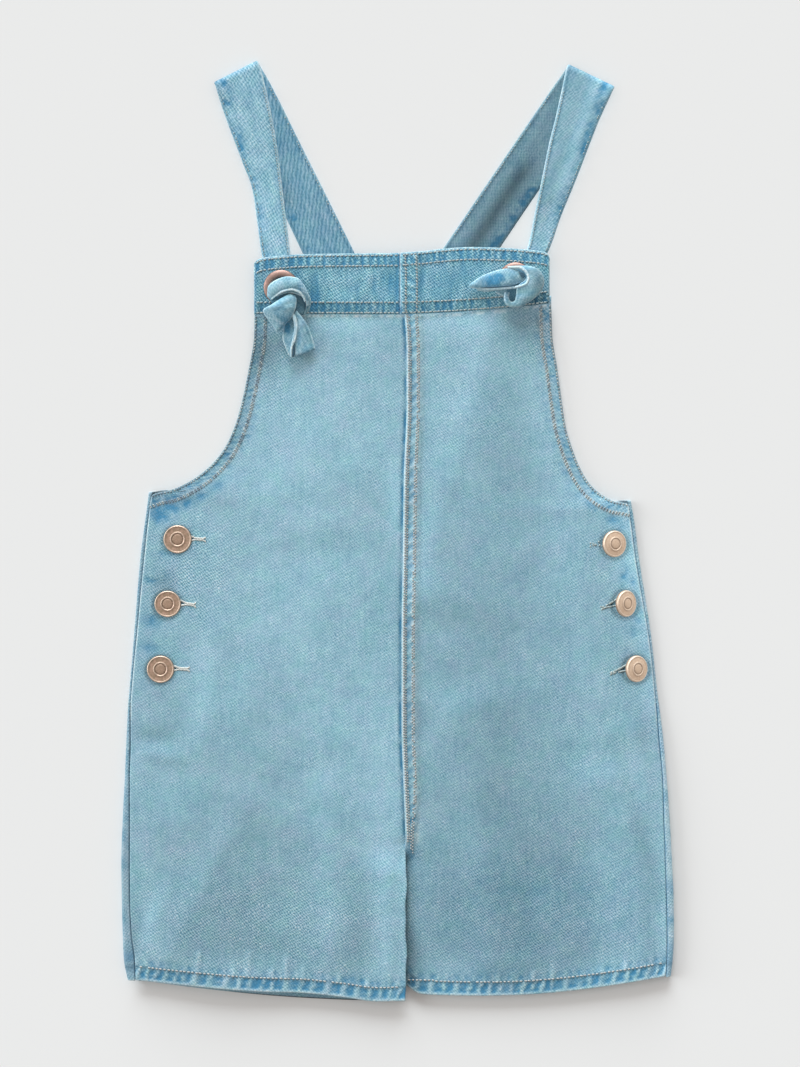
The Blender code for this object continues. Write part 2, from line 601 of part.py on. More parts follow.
def eyelet(side, group):
    """A two-part eyelet: a domed front flange, the barrel and a flat back flange."""
    front = BAND_HEIGHT + BAND_WALL / 2 + SEAM_GAP
    back = BAND_HEIGHT - BAND_WALL / 2 - SEAM_GAP
    barrel = EYELET_BORE + EYELET_WALL
    flange = [(turn.radius * EYELET_RADIUS, front + turn.height * EYELET_DOME)
              for turn in EYELET_FLANGE]
    profile = flange + [
        (barrel, front), (barrel, back), (EYELET_BACK, back),
        (EYELET_BACK, back - EYELET_WALL), (EYELET_BORE, back - EYELET_WALL),
        (EYELET_BORE, front + EYELET_LIP),
    ]
    ring = turned(f"eyelet_{side}", profile, group, copper(), ring=True)
    ring.location = (EYELETS[side][0] * MM, EYELETS[side][1] * MM, 0.0)
    return ring


# ---- buttons and buttonholes ---------------------------------------------------------
def buttonhole_cutter(name, side, button, cutters):
    """A keyhole: a slit that runs towards the middle, round where the shank stands."""
    inward = 1.0 if side == "left" else -1.0
    lean = math.radians(button.lean)
    level = PLACKET_MIDDLE[side]
    foot = button.x + inward * math.tan(lean) * (button.z - level)
    work = bmesh.new()
    bmesh.ops.create_cone(work, cap_ends=True, segments=EYE_STEPS, depth=EYE_DEPTH,
                          radius1=BUTTONHOLE_EYE, radius2=BUTTONHOLE_EYE)
    bmesh.ops.translate(work, vec=(foot, button.y, level), verts=work.verts)
    eye = add_object(f"{name}_eye", work, cutters)
    work = bmesh.new()
    bmesh.ops.create_cube(work, size=1.0)
    bmesh.ops.scale(work, vec=(BUTTONHOLE_LENGTH, BUTTONHOLE_WIDTH, SLIT_DEPTH),
                    verts=work.verts)
    middle = foot + inward * BUTTONHOLE_LENGTH / 2
    bmesh.ops.translate(work, vec=(middle, button.y, level), verts=work.verts)
    slit = add_object(f"{name}_slit", work, cutters)
    hide_cutter(eye)
    hide_cutter(slit)
    return eye, slit


def button_solid(side, number, button, group):
    """A tack button: a cap with a raised rim and a sunk centre, on its shank."""
    lean = math.radians(button.lean)
    length = (button.z - SHANK_BOTTOM[side]) / math.cos(lean)
    face = [(turn.radius * BUTTON_RADIUS, turn.height * BUTTON_THICKNESS)
            for turn in BUTTON_FACE]
    shank = [(SHANK_RADIUS, 0.0), (SHANK_RADIUS, -length), (0.0, -length)]
    cap = turned(f"button_{side}_{number}", face + shank, group, copper())
    cap.location = (button.x * MM, button.y * MM, button.z * MM)
    outward = -1.0 if side == "left" else 1.0
    cap.rotation_euler = (0.0, outward * lean, 0.0)
    return cap


# ---- straps and knots ----------------------------------------------------------------
def shoulder_stations(fold):
    """The strap's turn over the shoulder, about the line that its fold makes."""
    outer = Vector((fold.outer_x, fold.outer_y))
    inner = Vector((fold.inner_x, fold.inner_y))
    along = (inner - outer).normalized()
    up = Vector((-along.y, along.x))
    if up.y < 0.0:
        up = -up
    stations = []
    for index in range(SHOULDER_STEPS + 1):
        angle = math.pi * index / SHOULDER_STEPS
        reach = SHOULDER_RADIUS * math.sin(angle) - SHOULDER_RADIUS - STRAP_WALL / 2
        lift = SHOULDER_RADIUS * (1.0 - math.cos(angle))
        a = outer + up * reach
        b = inner + up * reach
        stations.append(Edges(a.x, a.y, b.x, b.y, fold.z + lift))
    return stations


def ribbon(name, stations, wall, group, material, across=3):
    """A strip of cloth between its two edges."""
    def place(column, index):
        row = stations[index]
        share = column / across
        return (blend(row.outer_x, row.inner_x, share),
                blend(row.outer_y, row.inner_y, share), row.z)

    return cloth(name, across, len(stations) - 1, place, wall, group, material)


def strap(side, back, fold, front, group):
    stations = back + shoulder_stations(fold) + front
    return ribbon(f"strap_{side}", stations, STRAP_WALL, group, denim("denim_strap"))


def knot(side, passes, group, cutters):
    """The strap's knotted end: its passes joined round a core, with a neck in the eyelet."""
    core = KNOT_CORE[side]
    round_it, up_it = CORE_STEPS
    work = bmesh.new()
    bmesh.ops.create_uvsphere(work, u_segments=round_it, v_segments=up_it, radius=1.0)
    bmesh.ops.scale(work, vec=(core.radius_x, core.radius_y, core.radius_z),
                    verts=work.verts)
    bmesh.ops.translate(work, vec=(core.x, core.y, core.z), verts=work.verts)
    heart = add_object(f"knot_{side}", work, group, denim("denim_strap"))
    work = bmesh.new()
    depth = core.z - NECK_BOTTOM
    bmesh.ops.create_cone(work, cap_ends=True, segments=ROUND_STEPS, depth=depth,
                          radius1=NECK_RADIUS, radius2=NECK_RADIUS)
    middle = (*EYELETS[side], NECK_BOTTOM + depth / 2)
    bmesh.ops.translate(work, vec=middle, verts=work.verts)
    neck = add_object(f"knot_{side}_neck", work, cutters)
    parts = [neck]
    for label, stations in passes.items():
        parts.append(ribbon(f"knot_{side}_{label}", stations, KNOT_WALL, cutters,
                            denim("denim_strap")))
    for piece in parts:
        hide_cutter(piece)
        cut(heart, piece, "UNION")
    return heart


def main():
    garment, cutters = start_clean()
    fronts = {"left": FRONT_LEFT, "right": FRONT_RIGHT}
    backs = {"left": BACK_LEFT, "right": BACK_RIGHT}
    bands = {"left": BAND_LEFT, "right": BAND_RIGHT}
    straps = {
        "left": (STRAP_LEFT_BACK, STRAP_LEFT_FOLD, STRAP_LEFT_FRONT),
        "right": (STRAP_RIGHT_BACK, STRAP_RIGHT_FOLD, STRAP_RIGHT_FRONT),
    }
    knots = {"left": KNOT_LEFT, "right": KNOT_RIGHT}
    for side in ("left", "right"):
        panel = front_panel(side, fronts[side], garment)
        for number, button in enumerate(BUTTONS[side], start=1):
            name = f"buttonhole_{side}_{number}"
            for cutter in buttonhole_cutter(name, side, button, cutters):
                cut(panel, cutter)
            button_solid(side, number, button, garment)
        armhole_hem(side, fronts[side], garment)
        front_leg_hem(side, fronts[side], garment)
        back_panel(side, backs[side], garment)
        back_leg_hem(side, backs[side], garment)
        bib_band(side, bands[side], garment, cutters)
        eyelet(side, garment)
        strap(side, *straps[side], garment)
        knot(side, knots[side], garment, cutters)


main()
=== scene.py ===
"""Kids' short-leg denim dungarees, laid flat: the cloth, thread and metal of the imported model."""
import math
from collections import namedtuple
from functools import reduce

import bpy
import numpy as np
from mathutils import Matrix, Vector
from mathutils.bvhtree import BVHTree


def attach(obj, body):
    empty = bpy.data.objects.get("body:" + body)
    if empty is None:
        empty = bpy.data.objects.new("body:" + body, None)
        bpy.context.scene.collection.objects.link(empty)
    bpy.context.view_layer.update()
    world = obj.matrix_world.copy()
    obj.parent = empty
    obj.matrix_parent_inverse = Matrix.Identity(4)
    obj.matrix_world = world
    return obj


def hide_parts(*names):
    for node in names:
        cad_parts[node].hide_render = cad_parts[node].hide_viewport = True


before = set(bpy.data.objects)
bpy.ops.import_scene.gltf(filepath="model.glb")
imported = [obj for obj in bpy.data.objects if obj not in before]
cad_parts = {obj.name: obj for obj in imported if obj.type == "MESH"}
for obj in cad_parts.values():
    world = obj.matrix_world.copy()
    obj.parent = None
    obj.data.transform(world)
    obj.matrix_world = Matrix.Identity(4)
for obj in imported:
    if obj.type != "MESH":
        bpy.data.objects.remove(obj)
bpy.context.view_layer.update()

bl_info = {
    "name": "Kids dungarees",
    "version": (1, 0, 0),
    "blender": (4, 5, 0),
    "location": "3D View > Sidebar > Dungarees",
    "description": "Dresses the packed frame of a pair of denim dungarees",
    "category": "Object",
}

MM = 0.001
SIDES = ("left", "right")

# ---- walls and widths, millimetres ---------------------------------------------------
CLOTH = 1.0
BAND_WALL = 1.8
STRAP_WALL = 2.0
SEAM_GAP = 0.3
LAYER = CLOTH + SEAM_GAP
FELL_WIDTH = 6.9            # lap of the felled centre front seam
ARMHOLE_HEM = 6.5
LEG_HEM = 8.4
BACK_SEAM_X = 4.0
BACK_TOP_Y = 51.0
LEG_EDGE_X = 5.0
BAND_HEIGHT = 6.2
EYELETS = {"left": (-69.5, 145.8), "right": (70.5, 150.3)}

# Sections of a front panel from the bib's top to the hem: where it meets the side (x, y),
# how far up the centre it starts, its bow, and its height at four places across.
FRONT = {"left": [
    (-85.5, 135, 135, 0, 4.3, 4.3, 4.3, 4.3), (-85.6, 129.9, 129.9, 0, 4.3, 4.3, 4.3, 4.3),
    (-85.7, 123.5, 122, 0, 3.7, 4.2, 4.9, 5), (-86, 115, 112, 0, 3, 4.1, 5.2, 5.3),
    (-89, 98, 92, 0, 2.3, 3.7, 5.2, 5.4), (-92.5, 81, 73, 0, 2.2, 3.6, 5.2, 5.3),
    (-97, 64.5, 55, 0, 2.2, 3.6, 5, 5.1), (-103, 51, 40, 0, 2.2, 3.6, 4.7, 4.8),
    (-112, 39.5, 28, 0, 2.3, 3.7, 4.3, 4.4), (-122.7, 31, 19, 0, 3, 4, 3.9, 3.9),
    (-134, 25.3, 12, 0, 4.6, 4.4, 3.6, 3.4), (-146.7, 21.6, 5, 0, 5.3, 4.8, 3.5, 3.1),
    (-148.8, 8, -6, 0, 5.3, 4.9, 3.4, 2.9), (-151.3, -15, -24, 0, 5.3, 4.9, 3.3, 2.8),
    (-153.6, -38, -46, 0, 5.3, 4.9, 3.3, 2.8), (-155.7, -61, -68, 0, 5.3, 4.9, 3.3, 2.8),
    (-158, -84, -90, 0, 5.2, 4.9, 3.4, 2.8), (-159.6, -107, -112, 0, 4.9, 4.9, 3.6, 2.8),
    (-159.5, -127, -131, 0, 4.2, 4.9, 3.9, 2.8), (-160.1, -148.5, -152, 0, 4.4, 4.9, 4, 2.9),
    (-160, -172, -174, 0, 4.9, 4.7, 3.9, 3.3), (-160, -184, -186, 0, 5.1, 4.6, 3.8, 3.4),
    (-160, -196, -198, 0, 5.3, 4.5, 3.8, 4), (-159.9, -220, -222, 0, 5.3, 4.4, 3.9, 4.6),
    (-158.9, -241, -244, 0, 5.3, 4.6, 4.3, 5), (-157, -256, -262, -1, 5.3, 5, 4.9, 5.2),
    (-156.5, -268.3, -280.3, -1.5, 5.2, 5.1, 5.1, 5.3),
], "right": [
    (92, 141, 135, 0, 4.3, 4.3, 4.3, 4.3), (92, 136.5, 129.9, 0, 4.3, 4.3, 4.3, 4.3),
    (92.3, 128, 122, 0, 3.7, 4.1, 4.9, 5), (92.7, 117, 112, 0, 3, 3.7, 5.2, 5.3),
    (95.7, 98, 92, 0, 2.3, 3.4, 5.2, 5.4), (98, 81, 73, 0, 2.2, 3.2, 5, 5.3),
    (100.8, 63, 55, 0, 2.2, 3.1, 4.7, 5.1), (104.3, 51, 40, 0, 2.2, 3, 4.4, 4.8),
    (108.5, 40, 28, 0, 2.3, 2.9, 4.1, 4.4), (114, 30, 19, 0, 2.9, 3, 3.8, 3.9),
    (121.5, 22.5, 12, 0, 4, 3.4, 3.6, 3.4), (130, 18, 7, 0, 5.2, 4, 3.5, 3.2),
    (137.5, 16.5, 2, 0, 5.3, 4.4, 3.4, 3.1), (139.6, 4, -10, 0, 4.8, 4.5, 3.2, 2.9),
    (142.3, -16, -28, 0, 4.1, 4.7, 3, 2.8), (146, -38, -48, 0, 3.9, 4.7, 2.9, 2.8),
    (150, -61, -68, 0, 3.9, 4.7, 2.8, 2.8), (152.8, -84, -90, 0, 3.9, 4.7, 2.8, 2.8),
    (154.8, -107, -112, 0, 4.2, 4.7, 3.2, 2.8), (156.3, -127, -131, 0, 4.1, 4.7, 3.4, 2.8),
    (158.4, -148.5, -152, 0, 4.4, 4.7, 3.4, 2.9), (159, -172, -174, 0, 4.9, 4.6, 3.3, 3.3),
    (159.5, -184, -186, 0, 5.1, 4.5, 3.2, 3.4), (159.9, -196, -198, 0, 5.3, 4.4, 3.2, 3.3),
    (160.6, -220, -222, 0, 5.3, 4.3, 3.4, 3.2), (161, -241, -244, 0, 5.3, 4.4, 4, 3.6),
    (160.9, -254, -262, -3, 5.3, 4.8, 4.6, 4.3), (160.3, -266, -276.5, -5.5, 5.2, 5, 4.9, 4.7),
]}
HEIGHT_STOPS = (0, 0.25, 0.6, 1)
ARMHOLE_ROWS = {"left": (1.15, 10.9), "right": (1.15, 11.9)}    # rows that its hem spans

# The centre front seam's line: y, x.
CENTRE_SEAM = [(135, 3.9), (108, 5.5), (76, 5.5), (33, 3.9), (-10, 3.3),
               (-66, 2.5), (-115, 2.5), (-152, 3.7), (-190, 4.9), (-282, 4.9)]
CROTCH_Y = -188

# Sections of a back panel: y, the side fold's outermost point, its radius, and where the
# cloth that has come round on top ends.
BACK = {"left": [
    (22.3, -149, 1.05, -121), (8, -151, 1.05, -121.5), (-15, -154, 1.05, -124), (-61, -157.8, 1.05, -127.5),
    (-98, -160.9, 1.05, -131), (-102, -161.3, 1.05, -160), (-122, -162.3, 1.4, -160.1),
    (-148.5, -163.4, 1.85, -160.6), (-172, -164.6, 2.2, -160.4), (-198, -165.4, 2.4, -160.4),
    (-220, -165.1, 2.4, -160.3), (-241, -164.6, 2.4, -159.3), (-256, -163.9, 2.4, -157.4),
    (-268.6, -161.5, 2.4, -156.9),
], "right": [
    (17.3, 139.8, 1.05, 112), (4, 142.2, 0.85, 112.5), (-15, 144.6, 0.8, 115), (-61, 151.8, 0.8, 121),
    (-98, 156, 0.8, 126), (-102, 156.5, 0.85, 155.2), (-122, 159, 1.4, 156.7), (-148.5, 161.4, 1.85, 158.9),
    (-172, 163, 2.2, 159.5), (-198, 164.4, 2.4, 160.3), (-220, 165.4, 2.4, 161), (-241, 165.6, 2.4, 161.4),
    (-254, 165, 2.4, 161.3), (-266.6, 163.6, 2.35, 160.7),
]}
BACK_HEM = {"left": (-281.8, -3), "right": (-276.8, -5)}

# The bib band from its outer end to the centre: x, bottom, top, rise.
BAND = {"left": [
    (-85.8, 129.9, 160.2, 0), (-84.2, 129.9, 162, 0), (-81.5, 129.9, 163.4, 0), (-70, 129.9, 164.9, 0),
    (-56, 129.9, 165.8, 0), (-29, 129.9, 166.2, 0), (1.4, 129.9, 166.5, 0),
], "right": [
    (90.9, 136.7, 163.5, 0), (89.8, 136.4, 165.9, 0), (87.5, 136.1, 167.3, 0), (78, 135, 168.5, 0),
    (62, 133.3, 169.6, 0), (44, 131.9, 170.1, 0), (26, 130.8, 168.9, 0), (15, 130.3, 167.6, 0.3),
    (11.5, 130.1, 167.3, 1.2), (1.8, 129.9, 166.6, 1.2),
]}

# The straps from the back over the shoulder to the bib: outer edge, inner edge, height.
STRAP_BACK = {"left": [
    (5.5, 37.9, 30.7, 50.1, 2.4), (-1.3, 51.9, 23.9, 64.1, 2.4), (-6.5, 62.7, 18.7, 74.9, 1),
    (-14.8, 79.9, 10.4, 92.1, 1), (-55.4, 163.9, -30.2, 176.1, 1), (-84, 224, -60, 236, 1),
    (-100.6, 256, -76, 268, 1),
], "right": [
    (-30.4, 36.1, -53.4, 51.9, 2.4), (-19.5, 52.1, -42.5, 67.9, 2.6), (-8.5, 68.1, -31.5, 83.9, 3.4),
    (3.9, 86.1, -19.1, 101.9, 3.4), (16.2, 104.1, -6.8, 119.9, 3.4), (25.8, 118.1, 2.8, 133.9, 2.2),
    (36.8, 134.1, 13.8, 149.9, 1), (56, 162.1, 33, 177.9, 1), (86.5, 207.1, 63.5, 222.9, 1),
    (116.5, 250.5, 93, 266, 1),
]}
STRAP_FOLD = {"left": (-110.1, 269.1, -84, 282.3, 1), "right": (130.2, 266.6, 102.3, 280.1, 1)}
STRAP_FRONT = {"left": [
    (-107.4, 261.3, -79.5, 268, 4.2), (-102.5, 246.9, -75.2, 248.5, 4.2), (-93.3, 222.3, -71, 223.5, 3.8),
    (-86.9, 204.9, -68.9, 205.5, 3.6), (-84, 185.1, -66.4, 185.3, 3), (-81.1, 164.7, -63.9, 164.7, 2.5),
    (-78, 153, -62.5, 153, 2.4), (-75.5, 141, -63, 141, 2.4),
], "right": [
    (126.4, 258.5, 98.5, 265.5, 4.2), (120.6, 246, 94.5, 247.5, 4.2), (115.5, 233.1, 90.9, 233.1, 4),
    (106.5, 209.7, 86.1, 209.7, 3.7), (98.1, 189.3, 81.9, 189.3, 3), (90.3, 167.7, 77.7, 169.8, 2.5),
    (82, 155, 70, 157.5, 2.4), (76.5, 145.5, 64.5, 147, 2.4),
]}
SHOULDER_RADIUS = 1.6

# The passes of each knot: the wall of the folded strap, how far the pass bulges, how light it is
# and its sections, each of them its outer edge, its inner edge and its height. The lowest pass and
# the darkest ones (below -0.5) are painted shade in the knot's hollow and openings.
Pass = namedtuple("Pass", "wall crown tone stations")
KNOT = {"left": [
    Pass(3.4, 1, -0.3, [
        (-77, 140, -75, 137, 8.2), (-75.5, 146, -68, 132, 8.8), (-70, 150, -62, 129.5, 9),
        (-63, 150.5, -57, 130, 8.8), (-57, 147, -55, 133, 8.2)]),
    Pass(1.7, 0.3, -0.12, [
        (-77, 141.6, -75, 137.4, 9.4), (-72, 146.5, -69.8, 141.8, 11.4), (-65.4, 148.5, -64.9, 142.8, 12.6),
        (-58.4, 148, -59.2, 141.6, 12.4), (-53.9, 143.4, -56, 139, 11.4), (-51.9, 138.5, -54.9, 135.6, 10.4),
        (-52.7, 134, -55.9, 132, 9.5), (-56, 129.8, -57.7, 130.2, 8.8)]),
    Pass(2.1, 0.9, 0, [
        (-77.9, 141, -75.6, 138.6, 10.2), (-77.4, 146.4, -73.4, 140.6, 12.2),
        (-72.2, 150.8, -69.6, 143.2, 13.7), (-65.6, 152.6, -65.2, 144.4, 14.4),
        (-60.2, 151.8, -61, 144.4, 14.2), (-55.6, 146.6, -57.4, 142, 13.4),
        (-53.2, 140.2, -55.2, 138.4, 12.2), (-53, 135.4, -54.4, 135, 11.2)]),
    Pass(1.1, 0.1, 0.35, [
        (-75.9, 139.9, -75.2, 138.9, 12), (-72.6, 142.4, -72, 141.2, 13.6), (-68.3, 144.6, -68, 143.2, 14.9),
        (-63.6, 145.5, -63.6, 144.1, 15.4), (-59, 144.4, -59.6, 143, 15), (-56.2, 141.6, -57.2, 140.8, 14),
        (-54.8, 138, -55.8, 137.6, 12.9)]),
    Pass(1.6, 0.3, -0.1, [
        (-66.5, 128.5, -59.5, 129, 9.3), (-68.4, 122, -58.6, 122, 8.7), (-69.1, 116.2, -58, 116.4, 8.1),
        (-67.6, 111, -58, 110.6, 7.8), (-65.2, 105.6, -58, 106.2, 7.6)]),
    Pass(1.9, 0.7, 0.05, [
        (-63, 130.6, -60.6, 132.6, 11), (-60, 126, -57, 128.2, 11), (-60.7, 121.7, -53.6, 122.8, 10.6),
        (-62.2, 116.2, -51.3, 117, 9.9), (-62.6, 110.8, -50, 112.6, 9.4), (-63, 104.2, -49.3, 109.4, 9)]),
    Pass(2, 1, 0.08, [
        (-64, 142.2, -61.4, 141.2, 12.4), (-69.5, 139.4, -60.4, 138.4, 13.4),
        (-75.5, 135.7, -60.8, 134.4, 13.6), (-80.6, 132.3, -62.2, 130.6, 12.8),
        (-78.4, 128.2, -63.6, 128.2, 12), (-75, 123.7, -66.6, 125.2, 11), (-72.2, 119.8, -70.4, 120.8, 10)]),
    Pass(1.3, 0.3, 0.3, [
        (-64.6, 131.2, -63, 132.2, 12.2), (-62.6, 127.4, -60.8, 128.6, 12.4),
        (-61.8, 122.4, -59.8, 122.8, 12.2), (-63, 115.4, -60.8, 115.6, 11.6), (-64.2, 110, -62.9, 110, 11),
        (-64.6, 104.6, -63.3, 104.4, 10.4)]),
    Pass(1, 0.1, -0.75, [
        (-63.2, 113.6, -62.6, 113.6, 11.2), (-63.2, 110.4, -61.4, 110.6, 11), (-63.3, 107, -61.6, 107, 10.6),
        (-63.2, 104.8, -62.2, 104.8, 10.4)]),
], "right": [
    Pass(3, 0.8, -0.45, [
        (66, 157, 65, 139, 7.6), (70, 158.5, 68, 136, 8), (76, 157.5, 74, 137, 8.2), (81, 154.5, 79, 140, 8),
        (84, 150, 83, 145, 7.6)]),
    Pass(1.6, 0.2, -0.1, [
        (47, 148, 47.6, 144.8, 8.6), (52.4, 150, 53, 144, 9.2), (58.4, 151, 59, 144.5, 10),
        (64.6, 151.5, 65.4, 145.3, 10.7), (70, 152, 71, 146.2, 11.2)]),
    Pass(0.9, 0, -0.3, [
        (58.6, 146, 58.8, 143.4, 8.9), (62, 146, 62.4, 141.6, 9.3), (66, 146, 66, 140.6, 9.3)]),
    Pass(2, 0.9, 0.05, [
        (42.6, 147.7, 43.4, 146.6, 9.2), (46.6, 150.6, 47.4, 145.9, 9.8), (51.6, 153.7, 52.6, 145.5, 10.7),
        (57.5, 155.9, 58.6, 146.1, 11.6), (62.8, 157.2, 64.6, 146.8, 12.4), (68, 157.6, 70, 147.9, 13),
        (72, 156, 74.6, 149.8, 13), (74.4, 153.4, 77, 151.4, 12.4)]),
    Pass(2.2, 1, 0.04, [
        (66.6, 158.4, 67.2, 156.9, 11.4), (71.6, 158.8, 70.8, 157.2, 13), (77.2, 158.6, 73.8, 156.9, 13.9),
        (82.6, 157.6, 76.4, 154.6, 14.4), (86.4, 154.2, 77.4, 152.2, 14.4), (87.8, 149.6, 75.6, 150, 14),
        (86.6, 145, 73, 148, 13.4), (83.2, 140.8, 71.4, 145.2, 12.6), (78.2, 137.1, 71.2, 141.6, 11.8),
        (73.2, 134.8, 70.6, 138.6, 11.2), (68.8, 134.5, 68.8, 137.6, 10.8), (65.2, 136.4, 67, 139, 10.6),
        (63.9, 139.8, 66.6, 141, 10.6), (64.4, 143.6, 67.2, 143.4, 10.8)]),
    Pass(1.2, 0.2, 0.3, [
        (65.8, 158.9, 66.2, 157.6, 13.6), (72.6, 159, 72.2, 157.6, 14.9), (77.9, 155.8, 76.6, 154.8, 15.6),
        (79.2, 151.4, 77.7, 151.4, 15.6), (77.2, 147.4, 76, 148.4, 15.3), (67.9, 145.2, 67.7, 146.6, 13.4),
        (55.7, 144.8, 55.6, 146, 11.2), (44.7, 146, 44.8, 146.9, 9.6)]),
    Pass(0.9, 0, -0.8, [
        (44.8, 146.6, 45, 147.2, 10.2), (55.6, 145.9, 55.7, 146.7, 12.4), (67.6, 146.6, 67.5, 147.4, 14.4),
        (70.4, 147.3, 70, 148, 14.8)]),
    Pass(1, 0.1, -0.75, [
        (72.4, 155.8, 73.2, 154.6, 15), (75, 155, 74, 152.6, 15.2), (76.6, 152.6, 75.2, 151.4, 15)]),
]}

Button = namedtuple("Button", "x y z lean")
BUTTONS = {
    "left": [Button(-131.9, -4.7, 6.1, 0), Button(-137.8, -43.3, 6.1, 0),
             Button(-142.1, -82.3, 6.1, 0)],
    "right": [Button(129.6, -7.4, 8.6, 24), Button(136.2, -43, 9.4, 36),
              Button(142.6, -81.9, 9.2, 31)],
}

# ---- folds, ropes and patches, millimetres -------------------------------------------
# Soft ridges: the points that each runs down, its half widths to the west and east, its rise.
RIDGES = {"left": [
    ([(-84, -158), (-104, -195), (-138, -262)], 13, 42, 1.5),
    ([(-109, -58), (-114, -95), (-119, -138)], 9, 12, 0.9),
    ([(-160, -131), (-146, -133), (-130, -136)], 5, 6, 0.8),
    ([(-44, -150), (-38, -195), (-34, -258)], 11, 13, 1.3),
    ([(-7, -196), (-5, -230), (-4, -266)], 8, 7, 0.9),
    ([(-60, 118), (-46, 60), (-40, 0)], 30, 26, 0.8),
    ([(-136, 10), (-124, -20), (-120, -60)], 12, 18, 0.8),
], "right": [
    ([(61, 124), (50, 80), (38, 40), (26, -4), (20, -46)], 15, 40, 2.2),
    ([(110, 26), (113, -30), (119, -95), (124, -130)], 13, 20, 1),
    ([(34, -100), (45, -140), (54, -190), (60, -264)], 13, 40, 2),
    ([(126, -140), (138, -180), (147, -264)], 22, 9, 1.4),
    ([(143, -118), (150, -160), (158, -215)], 7, 6, 0.7),
]}
# Lighter (above 0) and darker zones, partly of the wash and partly painted shade and light, such as
# the shadow under the right knot and lighter cloth just under the band: middle x and y, half width,
# half height, turn, tone.
WASH_AND_SHADE_ZONES = {"left": [
    (-55, 30, 40, 70, 0, 0.05), (-102, -214, 34, 46, -28, -0.13), (-146, -121, 14, 5, 0, -0.14),
    (-146, -137, 14, 6, 0, 0.1), (-24, -225, 11, 38, 4, -0.14), (-6, -228, 7, 42, 0, 0.08),
    (-149, -236, 5, 28, -18, 0.2), (-114, -100, 5, 36, -10, 0.08), (-100, 60, 14, 40, 8, -0.06),
    (-50, 124, 50, 5, 0, 0.08), (-78, -248, 100, 34, 0, -0.19), (-162, -250, 9, 18, 0, -0.25),
    (-97, -100, 8, 30, -6, 0.07), (-78, 140, 10, 10, 0, -0.1), (-80, 108, 10, 18, 0, -0.36),
    (-25, 109, 16, 14, 0, 0.07), (-1, 19, 6, 25, 0, 0.16), (-140, -30, 10, 6, 0, -0.2),
    (-142, 19, 8, 6, 0, 0.06), (-80, 150, 12, 20, 0, -0.1), (-130, -250, 14, 14, 0, -0.06),
    (-95, -170, 50, 60, 0, -0.03), (-106, 19, 12, 10, 0, -0.1), (-106, -101, 10, 12, 0, 0.06),
    (-150, -175, 25, 34, 0, -0.08), (-95, -168, 26, 22, 0, -0.08), (-60, -251, 30, 12, 0, -0.1),
    (-128, 30, 24, 12, -25, -0.1), (-26, 49, 24, 26, 0, 0.05), (-100, -140, 60, 60, 0, -0.02),
    (-54, 19, 22, 16, 0, 0.04), (-1, 19, 7, 14, 0, 0.09), (-80, -131, 40, 34, 0, -0.045),
    (-140, -80, 14, 70, 0, -0.04), (-48, -185, 26, 30, 0, -0.04), (-92, -36, 26, 32, 0, 0.035),
    (-110, -120, 14, 30, 0, 0.04), (-137, -161, 12, 12, 0, 0.05), (-123, -191, 26, 12, 0, -0.035),
    (-3, -200, 10, 30, 0, -0.04), (-26, -221, 8, 12, 0, 0.05), (-79, 109, 8, 14, 0, -0.1),
], "right": [
    (24, 70, 22, 70, 12, 0.08), (68, 40, 24, 90, 10, -0.06), (90, 72, 12, 55, 5, 0.1),
    (80, -212, 26, 56, 4, -0.06), (30, 58, 11, 50, 0, -0.08), (30, -5, 12, 25, 0, -0.09),
    (56, 65, 12, 36, 8, 0.05), (84, 65, 10, 30, 8, 0.04), (96, 19, 25, 16, 0, -0.09), (139, 0, 9, 60, 6, 0.1),
    (149, -82, 4, 30, 6, 0.12), (140, -264, 34, 8, 0, 0.16), (60, -90, 60, 60, 0, -0.03),
    (20, -115, 8, 12, 0, 0.05), (85, -221, 9, 12, 0, 0.1), (20, -235, 30, 14, 0, -0.05),
    (60, -170, 50, 36, 0, -0.05), (136, -190, 10, 12, 0, -0.07), (14, -251, 18, 10, 0, -0.08),
    (110, -251, 14, 10, 0, -0.1), (128, -200, 14, 60, 3, 0.06), (146, -122, 7, 9, 0, -0.1),
    (148, -188, 5, 36, 16, -0.12), (60, -70, 40, 60, 0, -0.03), (84, 122, 20, 14, 0, -0.28),
    (40, 125, 30, 5, 0, 0.08), (70, -105, 55, 70, 0, -0.09), (50, -205, 62, 62, 0, -0.1),
    (72, -235, 80, 40, 0, -0.17), (70, -120, 90, 90, 0, -0.05), (138, -12, 13, 50, 8, 0.24),
    (40, -120, 34, 60, 0, -0.03), (160, -225, 5, 50, 0, 0.12), (84, 125, 1.1, 5, 12, -0.3),
    (60, -120, 10, 70, 0, -0.03), (24, -131, 10, 16, 0, 0.06), (24, -41, 10, 14, 0, 0.03),
    (106, 19, 12, 12, 0, -0.05), (60, -161, 46, 14, 0, -0.04), (80, -191, 16, 12, 0, -0.04),
    (134, -251, 12, 10, 0, -0.07), (48, -251, 30, 10, 0, -0.04), (80, 80, 14, 40, 0, 0.04),
]}
